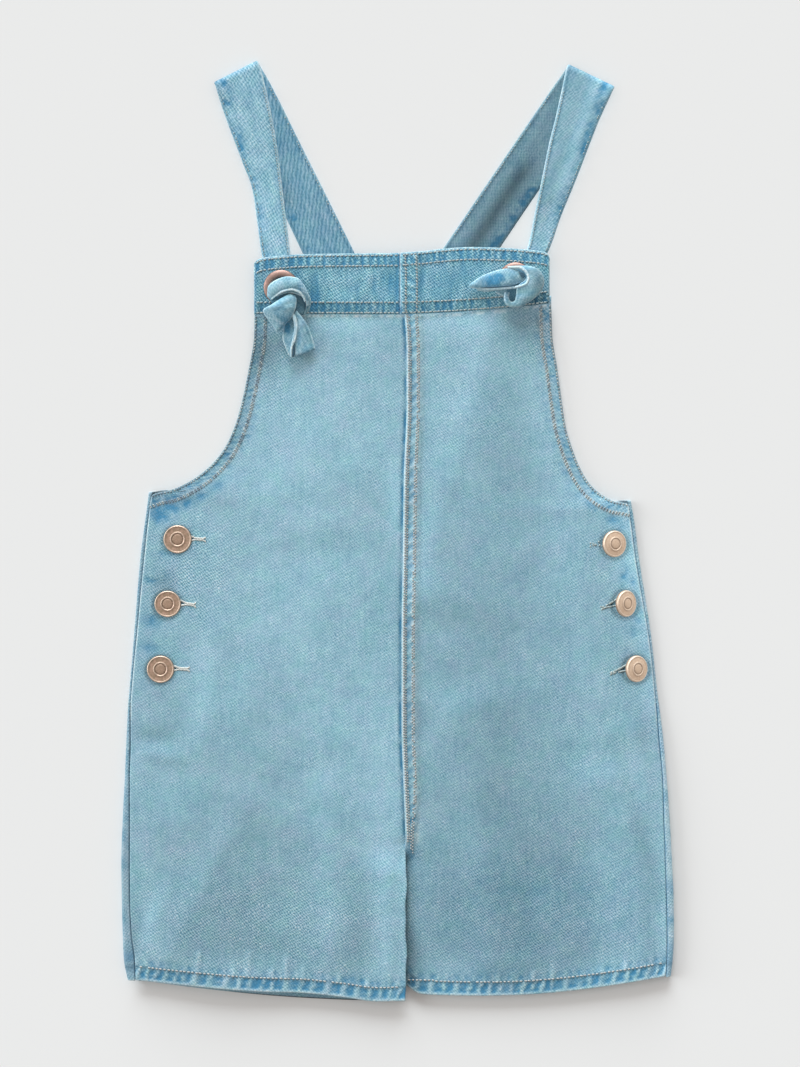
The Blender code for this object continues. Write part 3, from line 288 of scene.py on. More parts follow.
# Patches of saturated blue, as zones.
PATCHES = {"left": [
    (-142, 16.5, 4, 2.2, 12, 1.2), (-134, 19, 2.6, 2.6, 0, 0.9), (-130, 15.5, 5, 2.6, 15, 1.1),
    (-120, 19.5, 4.5, 2.6, 20, 0.9), (-136, 9.5, 4, 3.6, 0, 0.9), (-143, 8.5, 3.4, 4, 0, 1),
    (-138, -13, 6, 2, 0, 0.6), (-146.5, -29, 5, 1.6, -8, 0.9), (-138, -27, 9, 4, -12, 0.35),
    (-146, -54, 7, 5, 0, 0.7), (-149, -70, 7, 5, 0, 0.5), (-24, -268, 10, 3, 0, 0.5),
    (-161, -253, 2, 4, 0, 0.9), (-28, -200, 8, 3, 30, 0.15), (-139, 15, 12, 4, 12, 0.8),
    (-110, 26, 10, 3, 30, 0.5),
], "right": [
    (128, 9, 5, 3.6, -38, 1.1), (117, 16, 5, 2.6, -38, 0.7), (135.6, -26, 2.6, 6, 6, 0.9),
    (141, -30, 1.8, 4, 6, 0.6), (143.7, -50, 2.6, 4, 0, 1), (133, 2, 3, 3, 0, 0.4), (141, -60, 3, 4, 0, 0.5),
    (60, -264, 14, 3, 0, 0.5), (80, -225, 75, 42, 0, 0.24), (70, -30, 60, 90, 0, 0.06),
    (7, -196, 3, 7, 0, 0.7),
]}
# Where the weave is most open to the eye, as zones.
COARSE = {"left": [
    (-128, -22, 26, 34, 0, 1), (-100, -235, 60, 40, 0, 1), (-30, -235, 40, 40, 0, 0.6),
    (-80, 110, 14, 30, 0, 0.9),
], "right": [
    (80, -230, 80, 40, 0, 1), (100, -140, 50, 60, 0, 0.3), (130, -20, 16, 50, 0, 0.1),
    (90, 118, 12, 18, 0, 1), (40, 100, 30, 40, 0, 0.25),
]}
# The middles of the roping's dips along each front leg hem.
HEM_DIPS = {
    "left": [-164, -158.1, -151.9, -147, -142, -135.3, -130.3, -125.7, -116.7, -108.3, -97.5, -91.8,
             -84.3, -77.3, -72.3, -60.9, -54.4, -47.7, -36.6, -28.5, -20.1, -13.5, -7.5, -2.1, 4, 9],
    "right": [3, 8.6, 14.7, 24.3, 30.3, 39.9, 45.9, 51.9, 58.5, 64.5, 71.7, 78.3, 83.7, 89.7, 95.1,
              105.9, 111.9, 117.9, 126.3, 133.5, 140.7, 146.1, 152.7, 157.5, 163],
}
# Thin pale creases that rise from the leg hems: x, length.
HEM_CREASES = {
    "left": [(-119.5, 15), (-98.7, 7), (-89.7, 17), (-75.3, 8), (-67, 15), (-56.5, 10), (-35.7, 6),
             (-18.3, 5)],
    "right": [(60.3, 9), (68.7, 7), (81.3, 8), (92.7, 9), (121, 5), (136, 6)],
}

DRIFT_CELLS = (67, 61)      # after so many patches, the drift begins again
FAR = 999.0                 # the distance that stands for far away
ABOVE_ALL = 60              # a height over every piece
# What a cloth shows from place to place: lighter or darker (the wash, and also painted shade and light),
# blue dips (above 0) and pale ridges (below 0), worn edges, grooves (pressed stitch rows, and painted
# shade in slits, openings and beside edges), yarns drawn along, and how open the weave looks.
MARKS = ("tone", "rope", "worn", "groove", "streaked", "coarse")
PATCH_OF = {}               # name of a piece: its (points, faces), for what is sewn on it
# The pieces that each window's light passes, so that the floor keeps the room's soft shadow.
LET_PAST = {
    "top_window": ("denim_strap", "denim_band", "tack", "eyelet", "denim_back_left"),
    "left_window": ("denim_strap", "denim_band", "tack", "eyelet", "denim_front_right",
                    "armhole_turning_right", "denim_knot_right"),
}


# ---- curves, noise and lines ---------------------------------------------------------
def smooth(stops, values, at):
    """A smooth curve through the values at the stops, which never swings past them."""
    stops = np.asarray(stops, float)
    values = np.asarray(values, float).reshape(len(stops), -1)
    gap = np.diff(stops)[:, None]
    rise = np.diff(values, axis=0) / gap
    product = rise[:-1] * rise[1:]
    total = np.where(product > 0, rise[:-1] + rise[1:], 1.0)
    inner = np.where(product > 0, 2 * product / total, 0.0)
    slope = np.vstack([rise[:1], inner, rise[-1:]])
    at = np.asarray(at, float)
    flat = np.clip(at.ravel(), stops[0], stops[-1])
    i = np.clip(np.searchsorted(stops, flat, side="right") - 1, 0, len(stops) - 2)
    w = gap[i]
    u = (flat[:, None] - stops[i][:, None]) / w
    out = ((1 + 2 * u) * (1 - u) ** 2 * values[i] + u * (1 - u) ** 2 * w * slope[i]
           + u * u * (3 - 2 * u) * values[i + 1] + u * u * (u - 1) * w * slope[i + 1])
    return out.reshape(at.shape + (values.shape[1],))


def ease(share):
    """A share held between 0 and 1, with soft ends."""
    share = np.clip(share, 0.0, 1.0)
    return share * share * (3.0 - 2.0 * share)


def bell(distance, width):
    """1 in the middle, and soft to nothing at about twice the width."""
    return np.exp(-(distance / width) ** 2)


def nearest(*distances):
    """The least of several distances, point by point."""
    return reduce(np.minimum, distances)


def drift(x, y, size, seed):
    """Soft irregular variation between -1 and 1, in patches about size across."""
    cells = np.random.default_rng(seed).uniform(-1, 1, DRIFT_CELLS)
    u, v = np.asarray(x) / size + 500, np.asarray(y) / size + 500
    i, j = np.floor(u).astype(int), np.floor(v).astype(int)
    a, b = ease(u - i), ease(v - j)

    def at(p, q):
        return cells[p % DRIFT_CELLS[0], q % DRIFT_CELLS[1]]

    low = at(i, j) * (1 - a) + at(i + 1, j) * a
    high = at(i, j + 1) * (1 - a) + at(i + 1, j + 1) * a
    return low * (1 - b) + high * b


def wanderer(u, v, base):
    """Drift over one piece: of a patch size, a number for its seed and a stretch along v."""
    return lambda size, number, stretch=1.0: drift(u, v / stretch, size, base + number)


def spread(length, first, last, step):
    """Places along a length: given steps at its two ends and even ones between."""
    first, last = np.asarray(first, float), length - np.asarray(last, float)[::-1]
    count = max(2, int(round((last[0] - first[-1]) / step)) + 1)
    return np.concatenate([first[:-1], np.linspace(first[-1], last[0], count), last[1:]])


class Line:
    """A line on the cloth: how far away points are, and how far along."""

    def __init__(self, points, step=1.0):
        points = np.asarray(points, float)
        chord = np.r_[0, np.cumsum(np.hypot(*np.diff(points[:, :2], axis=0).T))]
        self.length = chord[-1]
        self.at = np.linspace(0, self.length, max(3, int(self.length / step) + 1))
        self.points = smooth(chord, points, self.at)[:, :2]
        way = np.gradient(self.points, self.at, axis=0)
        self.way = way / np.linalg.norm(way, axis=1)[:, None]

    def near(self, x, y, reach=40.0):
        """Signed distance (left of the way along is above 0) and place; beyond the reach it is FAR."""
        shape, x, y = x.shape, x.ravel(), y.ravel()
        off, place = np.full(x.shape, FAR), np.zeros(x.shape)
        low, high = self.points.min(axis=0) - reach, self.points.max(axis=0) + reach
        inside = np.flatnonzero((x > low[0]) & (x < high[0]) & (y > low[1]) & (y < high[1]))
        for part in np.array_split(inside, max(1, len(inside) // 4000)):
            if not len(part):
                continue
            dx = x[part][:, None] - self.points[:, 0]
            dy = y[part][:, None] - self.points[:, 1]
            away = dx * dx + dy * dy
            k = np.argmin(away, axis=1)
            n = np.arange(len(part))
            dx, dy, way = dx[n, k], dy[n, k], self.way[k]
            side = way[:, 0] * dy - way[:, 1] * dx
            along = way[:, 0] * dx + way[:, 1] * dy
            beyond = np.abs(along) > 1.5
            off[part] = np.where(beyond, np.copysign(np.sqrt(away[n, k]), side), side)
            place[part] = self.at[k] + along
        return off.reshape(shape), place.reshape(shape)


def uneven(length, period, seed):
    """Places along a length, about a period apart and never evenly."""
    steps = np.random.default_rng(seed).normal(period, 0.22 * period, int(length / period * 1.6) + 6)
    places = np.cumsum(np.maximum(steps, 0.45 * period)) - 2 * period
    return places[places < length + 2 * period]


def roping(place, off, dips, near, far, slant, seed, gap=0.2, least=0.45, crest=0.9):
    """Dips (to 1) and narrower ridges (to -crest) that alternate along a sewn edge."""
    dips = np.asarray(dips, float)
    rng = np.random.default_rng(seed)
    deep = rng.uniform(least, 1.0, len(dips))
    bare = rng.uniform(0.25, 1.0, len(dips))
    at = place + slant * (off - (near + far) / 2) + 0.7 * drift(place, off, 2.2, seed + 500)
    turn = np.interp(at, dips, np.arange(len(dips)))
    which = np.floor(turn)
    height = crest * bare[np.clip(which.astype(int), 0, len(dips) - 1)]
    wave = 1 - (1 + height) * bell(np.abs(turn - which - 0.5), gap)
    ragged = 0.8 + 0.55 * drift(place, off, 1.3, seed + 600)
    wave = wave * np.where(wave > 0, np.interp(at, dips, deep) * ragged, 1.0)
    return wave * ease((off - near) / 1.6 + 0.5) * ease((far - off) / 1.9 + 0.5)


def zone_sum(zones, x, y):
    """The zones' tones at each point, each of them fading out over its half widths."""
    total = 0.0
    for middle_x, middle_y, wide, high, turn, tone in zones:
        c, s = math.cos(math.radians(turn)), math.sin(math.radians(turn))
        dx, dy = x - middle_x, y - middle_y
        total = total + tone * np.exp(-(((dx * c + dy * s) / wide) ** 2 + ((dy * c - dx * s) / high) ** 2))
    return total


def marked(rope, worn, groove, **others):
    """The marks of a cloth, held to what its finish can show."""
    return {"rope": np.clip(rope, -1, 1), "worn": np.clip(worn, 0, 1), "groove": np.clip(groove, 0, 1),
            **others}


def ridge_rise(ridge, x, y):
    """How high a soft ridge lifts the cloth at each point."""
    points, west, east, rise = ridge
    line = Line(points, 3.0)
    off, place = line.near(x, y, 3.0 * max(west, east))
    ends = ease(place / 25 + 0.55) * ease((line.length - place) / 25 + 0.55)
    return rise * bell(off, np.where(off > 0, east, west)) * ends


# ---- meshes --------------------------------------------------------------------------
Part = namedtuple("Part", "points faces cloth marks")


def shell(middle, wall, rim, cloth, marks, keep=None):
    """A closed thin shell on a grid in millimetres, with its walls meeting at its edges and holes.

    rim is the distance to the free edge, and keep says which cells of the grid have cloth."""
    rows, columns = rim.shape
    normal = np.cross(np.gradient(middle, axis=1), np.gradient(middle, axis=0))
    normal /= np.maximum(np.linalg.norm(normal, axis=2), 1e-9)[..., None]
    half = wall / 2
    cells = np.ones((rows - 1, columns - 1), bool) if keep is None else keep
    around = np.zeros((rows, columns), int)
    for a in (0, 1):
        for b in (0, 1):
            around[a:rows - 1 + a, b:columns - 1 + b] += cells
    beside_hole = (around > 0) & (around < 4)
    beside_hole[[0, -1], :] = beside_hole[:, [0, -1]] = False
    closed = (rim <= 1e-6) | beside_hole
    thick = half * np.sqrt(1 - (1 - np.clip(rim / half, 0, 1)) ** 2)
    thick = np.where(closed, 0, thick)[..., None]
    top, bottom = middle + normal * thick, middle - normal * thick
    index = np.arange(rows * columns).reshape(rows, columns)
    free = ~closed.ravel()
    lower = index.ravel().copy()
    lower[free] = rows * columns + np.arange(free.sum())
    lower = lower.reshape(rows, columns)

    def quads(k):
        return np.stack([k[:-1, :-1], k[:-1, 1:], k[1:, 1:], k[1:, :-1]], axis=-1)[cells]

    def both(values):
        return np.concatenate([values, values[free]])

    faces = np.vstack([quads(index), quads(lower)[:, ::-1]])
    points = np.vstack([top.reshape(-1, 3), bottom.reshape(-1, 3)[free]])
    used = np.zeros(len(points), bool)
    used[faces] = True
    values = {name: both(np.broadcast_to(marks.get(name, 0.0), rim.shape).ravel())[used] for name in MARKS}
    return Part(points[used], (np.cumsum(used) - 1)[faces], both(cloth.reshape(-1, 2))[used], values)


def join(parts):
    """Several parts as one."""
    starts = np.cumsum([0] + [len(part.points) for part in parts])
    return Part(np.vstack([part.points for part in parts]),
                np.vstack([part.faces + start for part, start in zip(parts, starts)]),
                np.vstack([part.cloth for part in parts]),
                {name: np.concatenate([part.marks[name] for part in parts]) for name in MARKS})


def plain_marks(count, **given):
    """Every mark of a turned or sewn piece, 0 where it isn't given."""
    return {name: given.get(name, np.zeros(count)) for name in MARKS}


def place_in_scene(thing):
    """Links a new object to the scene."""
    bpy.context.scene.collection.objects.link(thing)
    return thing


def make(name, part, finish, slot, *nodes):
    """Makes one piece of the garment, which rides on the body and stands for its nodes."""
    mesh = bpy.data.meshes.new(name)
    mesh.from_pydata((part.points * MM).tolist(), [], part.faces.tolist())
    flat = mesh.uv_layers.new(name="cloth")
    corner = np.empty(len(mesh.loops), int)
    mesh.loops.foreach_get("vertex_index", corner)
    flat.data.foreach_set("uv", (part.cloth[corner] * MM).ravel())
    for mark, value in part.marks.items():
        mesh.attributes.new(mark, "FLOAT", "POINT").data.foreach_set("value", value.astype(float))
    mesh.polygons.foreach_set("use_smooth", np.ones(len(mesh.polygons), bool))
    mesh.materials.append(finish)
    thing = place_in_scene(bpy.data.objects.new(name, mesh))
    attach(thing, "root")
    if nodes:
        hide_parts(*nodes)
    PATCH_OF[name] = (part.points, part.faces)
    for window, pieces in LET_PAST.items():
        if name.startswith(pieces):
            past = bpy.data.objects[window].light_linking.blocker_collection
            past.objects.link(thing)
            past.collection_objects[-1].light_linking.link_state = "EXCLUDE"
    return thing


def grid_area(middle):
    """The area of a grid of points."""
    a, b = middle[1:, 1:] - middle[:-1, :-1], middle[1:, :-1] - middle[:-1, 1:]
    return 0.5 * np.linalg.norm(np.cross(a, b), axis=2).sum()


def declare(middle, allowance, turned=0.0, hems=()):
    """Works out the cut of a piece of cloth from its own laid-out middle surface, and keeps nothing of it."""
    across, along = (np.linalg.norm(np.diff(middle, axis=i), axis=2).sum(axis=i).max() for i in (1, 0))
    whole = grid_area(middle) + (along + across) * allowance + turned * across


# ---- finishes ------------------------------------------------------------------------
class Finish:
    """A material under construction: adds nodes and joins their sockets."""

    def __init__(self, name):
        self.material = bpy.data.materials.new(name)
        self.material.use_nodes = True
        self.nodes = self.material.node_tree.nodes
        self.links = self.material.node_tree.links
        self.shader = self.nodes["Principled BSDF"]

    def put(self, socket, value):
        if isinstance(value, bpy.types.NodeSocket):
            self.links.new(value, socket)
        else:
            socket.default_value = value

    def surface(self, **inputs):
        """Sets the shader's own sockets, whose names' spaces are written as underscores."""
        for name, value in inputs.items():
            self.put(self.shader.inputs[name.replace("_", " ")], value)
        return self.material

    def add(self, kind, inputs, out=0, **settings):
        node = self.nodes.new("ShaderNode" + kind)
        for name, value in settings.items():
            setattr(node, name, value)
        for key, value in inputs.items():
            self.put(node.inputs[key], value)
        return node.outputs[out]

    def math(self, operation, a, b=0.0, c=0.0, clamp=False):
        return self.add("Math", {0: a, 1: b, 2: c}, operation=operation, use_clamp=clamp)

    def times(self, a, b, clamp=False):
        return self.math("MULTIPLY", a, b, clamp=clamp)

    def line(self, value, gain, plus):
        return self.math("MULTIPLY_ADD", value, gain, plus)

    def centred(self, value, gain):
        return self.line(value, gain, -0.5 * gain)

    def sum(self, *terms):
        return reduce(lambda total, term: self.math("ADD", total, term), terms)

    def scaled(self, vector, *by):
        return self.add("VectorMath", {0: vector, 1: by}, operation="MULTIPLY")

    def cloth(self):
        """The cloth's own place, in millimetres."""
        return self.scaled(self.add("UVMap", {}, uv_map="cloth"), 1 / MM, 1 / MM, 0.0)

    def noise(self, vector, scale, detail=2.0, rough=0.5, out="Fac"):
        return self.add("TexNoise", {"Vector": vector, "Scale": scale, "Detail": detail,
                                     "Roughness": rough}, out)

    def wave(self, vector, frequency):
        """A sine over the cloth, with its frequency in turns a millimetre."""
        turn = self.add("VectorMath", {0: vector, 1: (*frequency, 0.0)}, "Value", operation="DOT_PRODUCT")
        return self.math("SINE", self.times(turn, 2 * math.pi))

    def mix(self, share, a, b, blend="MIX"):
        node = self.nodes.new("ShaderNodeMix")
        node.data_type, node.blend_type = "RGBA", blend
        for key, value in ((0, share), (6, a), (7, b)):
            self.put(node.inputs[key], value if isinstance(value, bpy.types.NodeSocket) or key == 0
                     else opaque(value))
        return node.outputs[2]

    def mark(self, name):
        return self.add("Attribute", {}, "Fac", attribute_name=name)

    def ramp(self, level, *stops):
        """A colour or, for a plain number, a grey for each level between the stops."""
        node = self.nodes.new("ShaderNodeValToRGB")
        bars = node.color_ramp.elements
        bars.remove(bars[-1])
        for number, (place, colour) in enumerate(stops):
            bar = bars.new(place) if number else bars[0]
            bar.position, bar.color = place, opaque(colour)
        self.put(node.inputs[0], level)
        return node.outputs[0]

    def bump(self, height, strength, depth):
        return self.add("Bump", {"Height": height, "Strength": strength, "Distance": depth * MM})


def opaque(colour):
    """A colour with full cover; one number is a grey."""
    return (*colour, 1.0) if hasattr(colour, "__len__") else (colour, colour, colour, 1.0)


def linear(colour):
    """Linear light of a screen colour given in 255ths."""
    shares = [channel / 255 for channel in colour]
    return [c / 12.92 if c <= 0.04045 else ((c + 0.055) / 1.055) ** 2.4 for c in shares]


def denim(name, shift=(1.0, 1.0, 1.0), contrast=1.0, twill=((0.573, 0.485), (0.27, -0.50)), streak=0.25):
    """Light-washed denim twill: yarns, wash, patches, worn edges and grooves, with the painted shade and
    light that its tone and groove marks carry.
    """
    look = bpy.context.scene.dungarees_denim
    f = Finish(name)
    cloth = f.cloth()
    tone, rope, worn, groove, streaked, coarse = (f.mark(mark) for mark in MARKS)
    patch = f.math("MAXIMUM", rope, 0.0)
    pale = f.math("MAXIMUM", f.times(rope, -1.0), 0.0)
    # The yarns, which wander a little.
    wander = f.noise(cloth, 0.30, out="Color")
    wander = f.add("VectorMath", {0: wander, 1: (0.5, 0.5, 0.5)}, operation="SUBTRACT")
    bent = f.add("VectorMath", {0: f.scaled(wander, 2.8, 2.8, 0.0), 1: cloth}, operation="ADD")
    first, second = (f.wave(bent, way) for way in twill)
    fleck = f.noise(cloth, 0.75, 1.0)
    grain = f.noise(f.scaled(cloth, 1.0, 0.75, 1.0), 1.5, 2.0, 0.6)
    slubs = f.ramp(f.noise(f.scaled(cloth, 1.9, 0.45, 1.0), 0.8, 1.0), (0.60, 0.0), (0.74, 1.0))
    yarns = f.sum(f.times(first, 0.13 * contrast),
                  f.times(second, f.line(fleck, 0.235 * contrast, -0.03 * contrast)))
    open_weave = f.line(coarse, 0.75, f.line(f.noise(cloth, 0.09), 1.6, -0.05))
    weave = f.sum(f.times(yarns, open_weave), f.centred(grain, 0.37 * contrast),
                  f.centred(fleck, 0.2 * contrast), f.times(slubs, 0.13))
    reeds = f.noise(f.scaled(cloth, 1.0, 0.05, 1.0), 1.6, 2.0, 0.6)
    reeded = f.sum(f.centred(reeds, 0.5), f.times(f.wave(bent, (0.361, -0.226)), 0.17))
    weave = f.sum(f.times(weave, f.line(streaked, -0.55, 1.0)), f.times(streaked, reeded))
    # The wash, and the level of blue that comes of both.
    streaks = f.noise(f.scaled(cloth, 0.55, 0.05, 1.0), 1.0, 3.0, 0.6)
    blotch = f.noise(cloth, 0.16, 3.0, 0.6)
    wash = f.sum(f.centred(streaks, streak), f.centred(f.noise(cloth, 0.045, 4.0, 0.55), 0.28),
                 f.centred(blotch, 0.22))
    rough_worn = f.times(worn, f.line(fleck, 1.5, 0.25), clamp=True)
    level = f.sum(weave, wash, 0.5, f.times(pale, 0.24), f.times(patch, -0.14), f.times(rough_worn, 0.42),
                  f.times(groove, -0.25))
    blues = ((0.0, look.deep), (0.26, look.dark), (0.5, look.middle), (0.78, look.light), (1.0, look.pale))
    colour = f.ramp(level, *((place, [c * s for c, s in zip(blue, shift)]) for place, blue in blues))
    hue = f.ramp(f.noise(cloth, 0.035, 3.0, 0.6),
                 (0.30, (0.95, 1.02, 0.99)), (0.5, 1.0), (0.70, (1.045, 0.985, 1.0)))
    tint = f.ramp(f.noise(cloth, 0.13, 2.0, 0.6),
                  (0.34, (0.99, 1.03, 0.985)), (0.5, 1.0), (0.66, (1.035, 0.98, 1.01)))
    for change in (hue, tint):
        colour = f.mix(1.0, colour, change, "MULTIPLY")
    # Patches of unworn blue, worn edges, grooves with their painted shade, and how light the place is, which
    # holds the wash and also painted shade and light.
    strong = f.times(patch, f.line(fleck, 1.7, 0.2), clamp=True)
    unworn = f.mix(f.math("ADD", weave, 0.8, clamp=True), look.deep, look.patch)
    for share, other in ((f.times(strong, 0.9), unworn), (f.times(rough_worn, 0.85), look.worn),
                         (f.times(groove, 0.7), look.groove)):
        colour = f.mix(share, colour, other)
    gain = f.line(tone, 1.0, 1.0)
    colour = f.mix(1.0, colour, f.add("CombineXYZ", {0: gain, 1: gain, 2: gain}), "MULTIPLY")
    return f.surface(Base_Color=colour, Roughness=f.line(weave, -0.25, 0.9), Specular_IOR_Level=0.25,
                     Sheen_Weight=0.08, Sheen_Roughness=0.5,
                     Normal=f.bump(f.math("ADD", weave, f.times(blotch, 0.5)), 0.35, 0.5))


def thread_finish(name, lift=0.0):
    """Grey-beige topstitching thread, twisted, a little uneven in colour; stitches marked dark take the
    groove colour, painted shade for the gaps between stitches.
    """
    look = bpy.context.scene.dungarees_denim
    f = Finish(name)
    cloth = f.cloth()
    ply = f.wave(cloth, (1.1, 1.4))
    level = f.sum(f.noise(cloth, 0.5), f.times(ply, 0.12), f.mark("tone"), lift)
    colour = f.ramp(level, (0.34, look.thread_blue), (0.5, look.thread), (0.75, (0.55, 0.58, 0.55)),
                    (1.0, (0.68, 0.68, 0.64)))
    colour = f.mix(f.mark("worn"), f.mix(f.mark("groove"), colour, look.groove), (0.46, 0.455, 0.44))
    return f.surface(Base_Color=colour, Roughness=f.line(ply, 0.06, 0.74), Normal=f.bump(ply, 0.4, 0.2))


def copper_finish(name, base, dull, tarnish_and_shade=0.8, metal=0.9):
    """Copper plate, brushed and worn: brighter on its raised rims, dull with tarnish in its hollows, and dark
    on its side walls as painted shade.
    """
    f = Finish(name)
    cloth = f.cloth()
    scuff = f.noise(f.scaled(cloth, 0.5, 3.0, 1.0), 1.0, 4.0, 0.65)
    cloud = f.ramp(f.noise(cloth, 0.45, 4.0, 0.7), (0.35, 0.0), (0.65, 1.0))
    colour = f.mix(f.times(f.mark("worn"), 0.45), f.mix(cloud, base, dull), (0.92, 0.80, 0.70))
    colour = f.mix(f.times(f.mark("groove"), tarnish_and_shade), colour, (0.10, 0.055, 0.04))
    return f.surface(Base_Color=colour, Roughness=f.line(scuff, 0.3, 0.34), Metallic=metal,
                     Normal=f.bump(scuff, 0.25, 0.2))


# ---- the fronts ----------------------------------------------------------------------
EDGE_STEPS = [0, 0.1, 0.3, 0.6, 1.1, 1.7, 2.4, 3.2, 4.0, 4.8, 5.6, 6.4, 7.2, 8.0, 9.0, 10.2]
SEAM_STEPS = [0, 0.1, 0.3, 0.6, 1.1, 1.6, 2.2, 2.9, 3.7, 4.5, 5.3, 6.1, 6.9, 7.6, 8.3, 9.2, 10.2]
HEM_STEPS = [0, 0.12, 0.35, 0.8, 1.5, 2.3, 3.1, 3.9, 4.7, 5.5, 6.3, 7.1, 7.9, 8.7, 9.5, 10.5, 11.7,
             13.0, 14.4]


def seam_at(y):
    """Where the centre front seam lies at each height."""
    table = np.array(CENTRE_SEAM)[::-1]
    return smooth(table[:, 0], table[:, 1], y)[..., 0]


def front_rows(side, at):
    """Sections of a front panel, also between those of its table."""
    return smooth(np.arange(len(FRONT[side])), FRONT[side], at)


def front_section(side, row, columns):
    """Points across the sections of a front panel, and their distance to its two edges."""
    edge_x, edge_y, seam_y, bow = (row[:, i:i + 1] for i in range(4))
    seam = seam_at(seam_y)
    if side == "left":
        lap_end = ease((seam_y - CROTCH_Y) / 8)
        over = ease((-194 - seam_y) / 10)
        wavy = 0.35 * np.sin(seam_y / 7) + 0.25 * np.sin(seam_y / 3.1 + 1)
        inner = 4.9 + lap_end * (seam + FELL_WIDTH - 4.9) + over * (0.3 + wavy)
    else:
        below, under = ease((-184 - seam_y) / 6), ease((-195 - seam_y) / 8)
        inner = seam * (1 - below) + 4.3 * below - 1.4 * under
    width = np.abs(inner - edge_x)
    far = columns(width)
    share, from_seam = far / width, width - far
    x = edge_x + (inner - edge_x) * share
    y = edge_y + (seam_y - edge_y) * share + bow * np.sin(math.pi * share)
    z = np.stack([smooth(HEIGHT_STOPS, row[i, 4:8], share[i])[..., 0] for i in range(len(row))])
    if side == "left":
        z = z + 1.6 * ease((-192 - y) / 14) * np.exp(-from_seam / 16)
        near_hem = ease((-250 - y) / 25)
        z = z + 1.5 * near_hem * bell(x + 100, 42)
        y = y + near_hem * (1.2 * bell(x + 57, 20) - 1.5 * bell(x + 14, 13))
    else:
        lap = LAYER * ease((y + 197) / 14)
        z = z + lap * ease((11 - 4 * ease((-150 - y) / 40) - from_seam) / 4.2)
        z = z + 0.55 * bell(from_seam - 0.9, 1.0) * ease((y - CROTCH_Y) / 8)
        z = z - 1.2 * ease((-190 - y) / 8) * np.exp(-from_seam / 8)
        corner = ease((-262 - y) / 14) * bell(from_seam, 6.5)
        y, z = y + 5.5 * corner, z - 1.6 * corner
    return np.stack([x, y, z], axis=-1), far, from_seam


def front_columns(width):
    """Distances from the outer edge at which a section has a point, for each width."""
    outer, inner = np.array(EDGE_STEPS), np.array(SEAM_STEPS)
    between = outer[-1] + (width - inner[-1] - outer[-1]) * np.linspace(0, 1, 86)[1:-1]
    ends = np.ones_like(width)
    return np.hstack([ends * outer, between, width - ends * inner[::-1]])


def front_grid(side):
    """A front panel's grid and its distances to its outer edge, the centre, the hem and the top."""
    count = len(FRONT[side])
    fine = np.linspace(0, count - 1, 40 * (count - 1) + 1)
    rows = front_rows(side, fine)
    x = (rows[:, 0] + seam_at(rows[:, 2])) / 2
    y = (rows[:, 1] + rows[:, 2]) / 2
    down = np.r_[0, np.cumsum(np.hypot(np.diff(x), np.diff(y)))]
    places = spread(down[-1], [0, 0.5, 1.5], HEM_STEPS, 1.5)
    row = front_rows(side, np.interp(places, down, fine))
    middle, from_edge, from_seam = front_section(side, row, front_columns)
    from_top = np.broadcast_to(places[:, None], from_edge.shape)
    return middle, from_edge, from_seam, middle[..., 1] - middle[-1:, :, 1], from_top


def armhole_line(side):
    """A front panel's armhole edge, with a little more at its lower end."""
    points = front_rows(side, np.linspace(*ARMHOLE_ROWS[side], 60))[:, :2]
    way = points[-1] - points[-3]
    return Line(np.vstack([points, points[-1] + way / np.linalg.norm(way) * [[3.0], [7.0]]]))


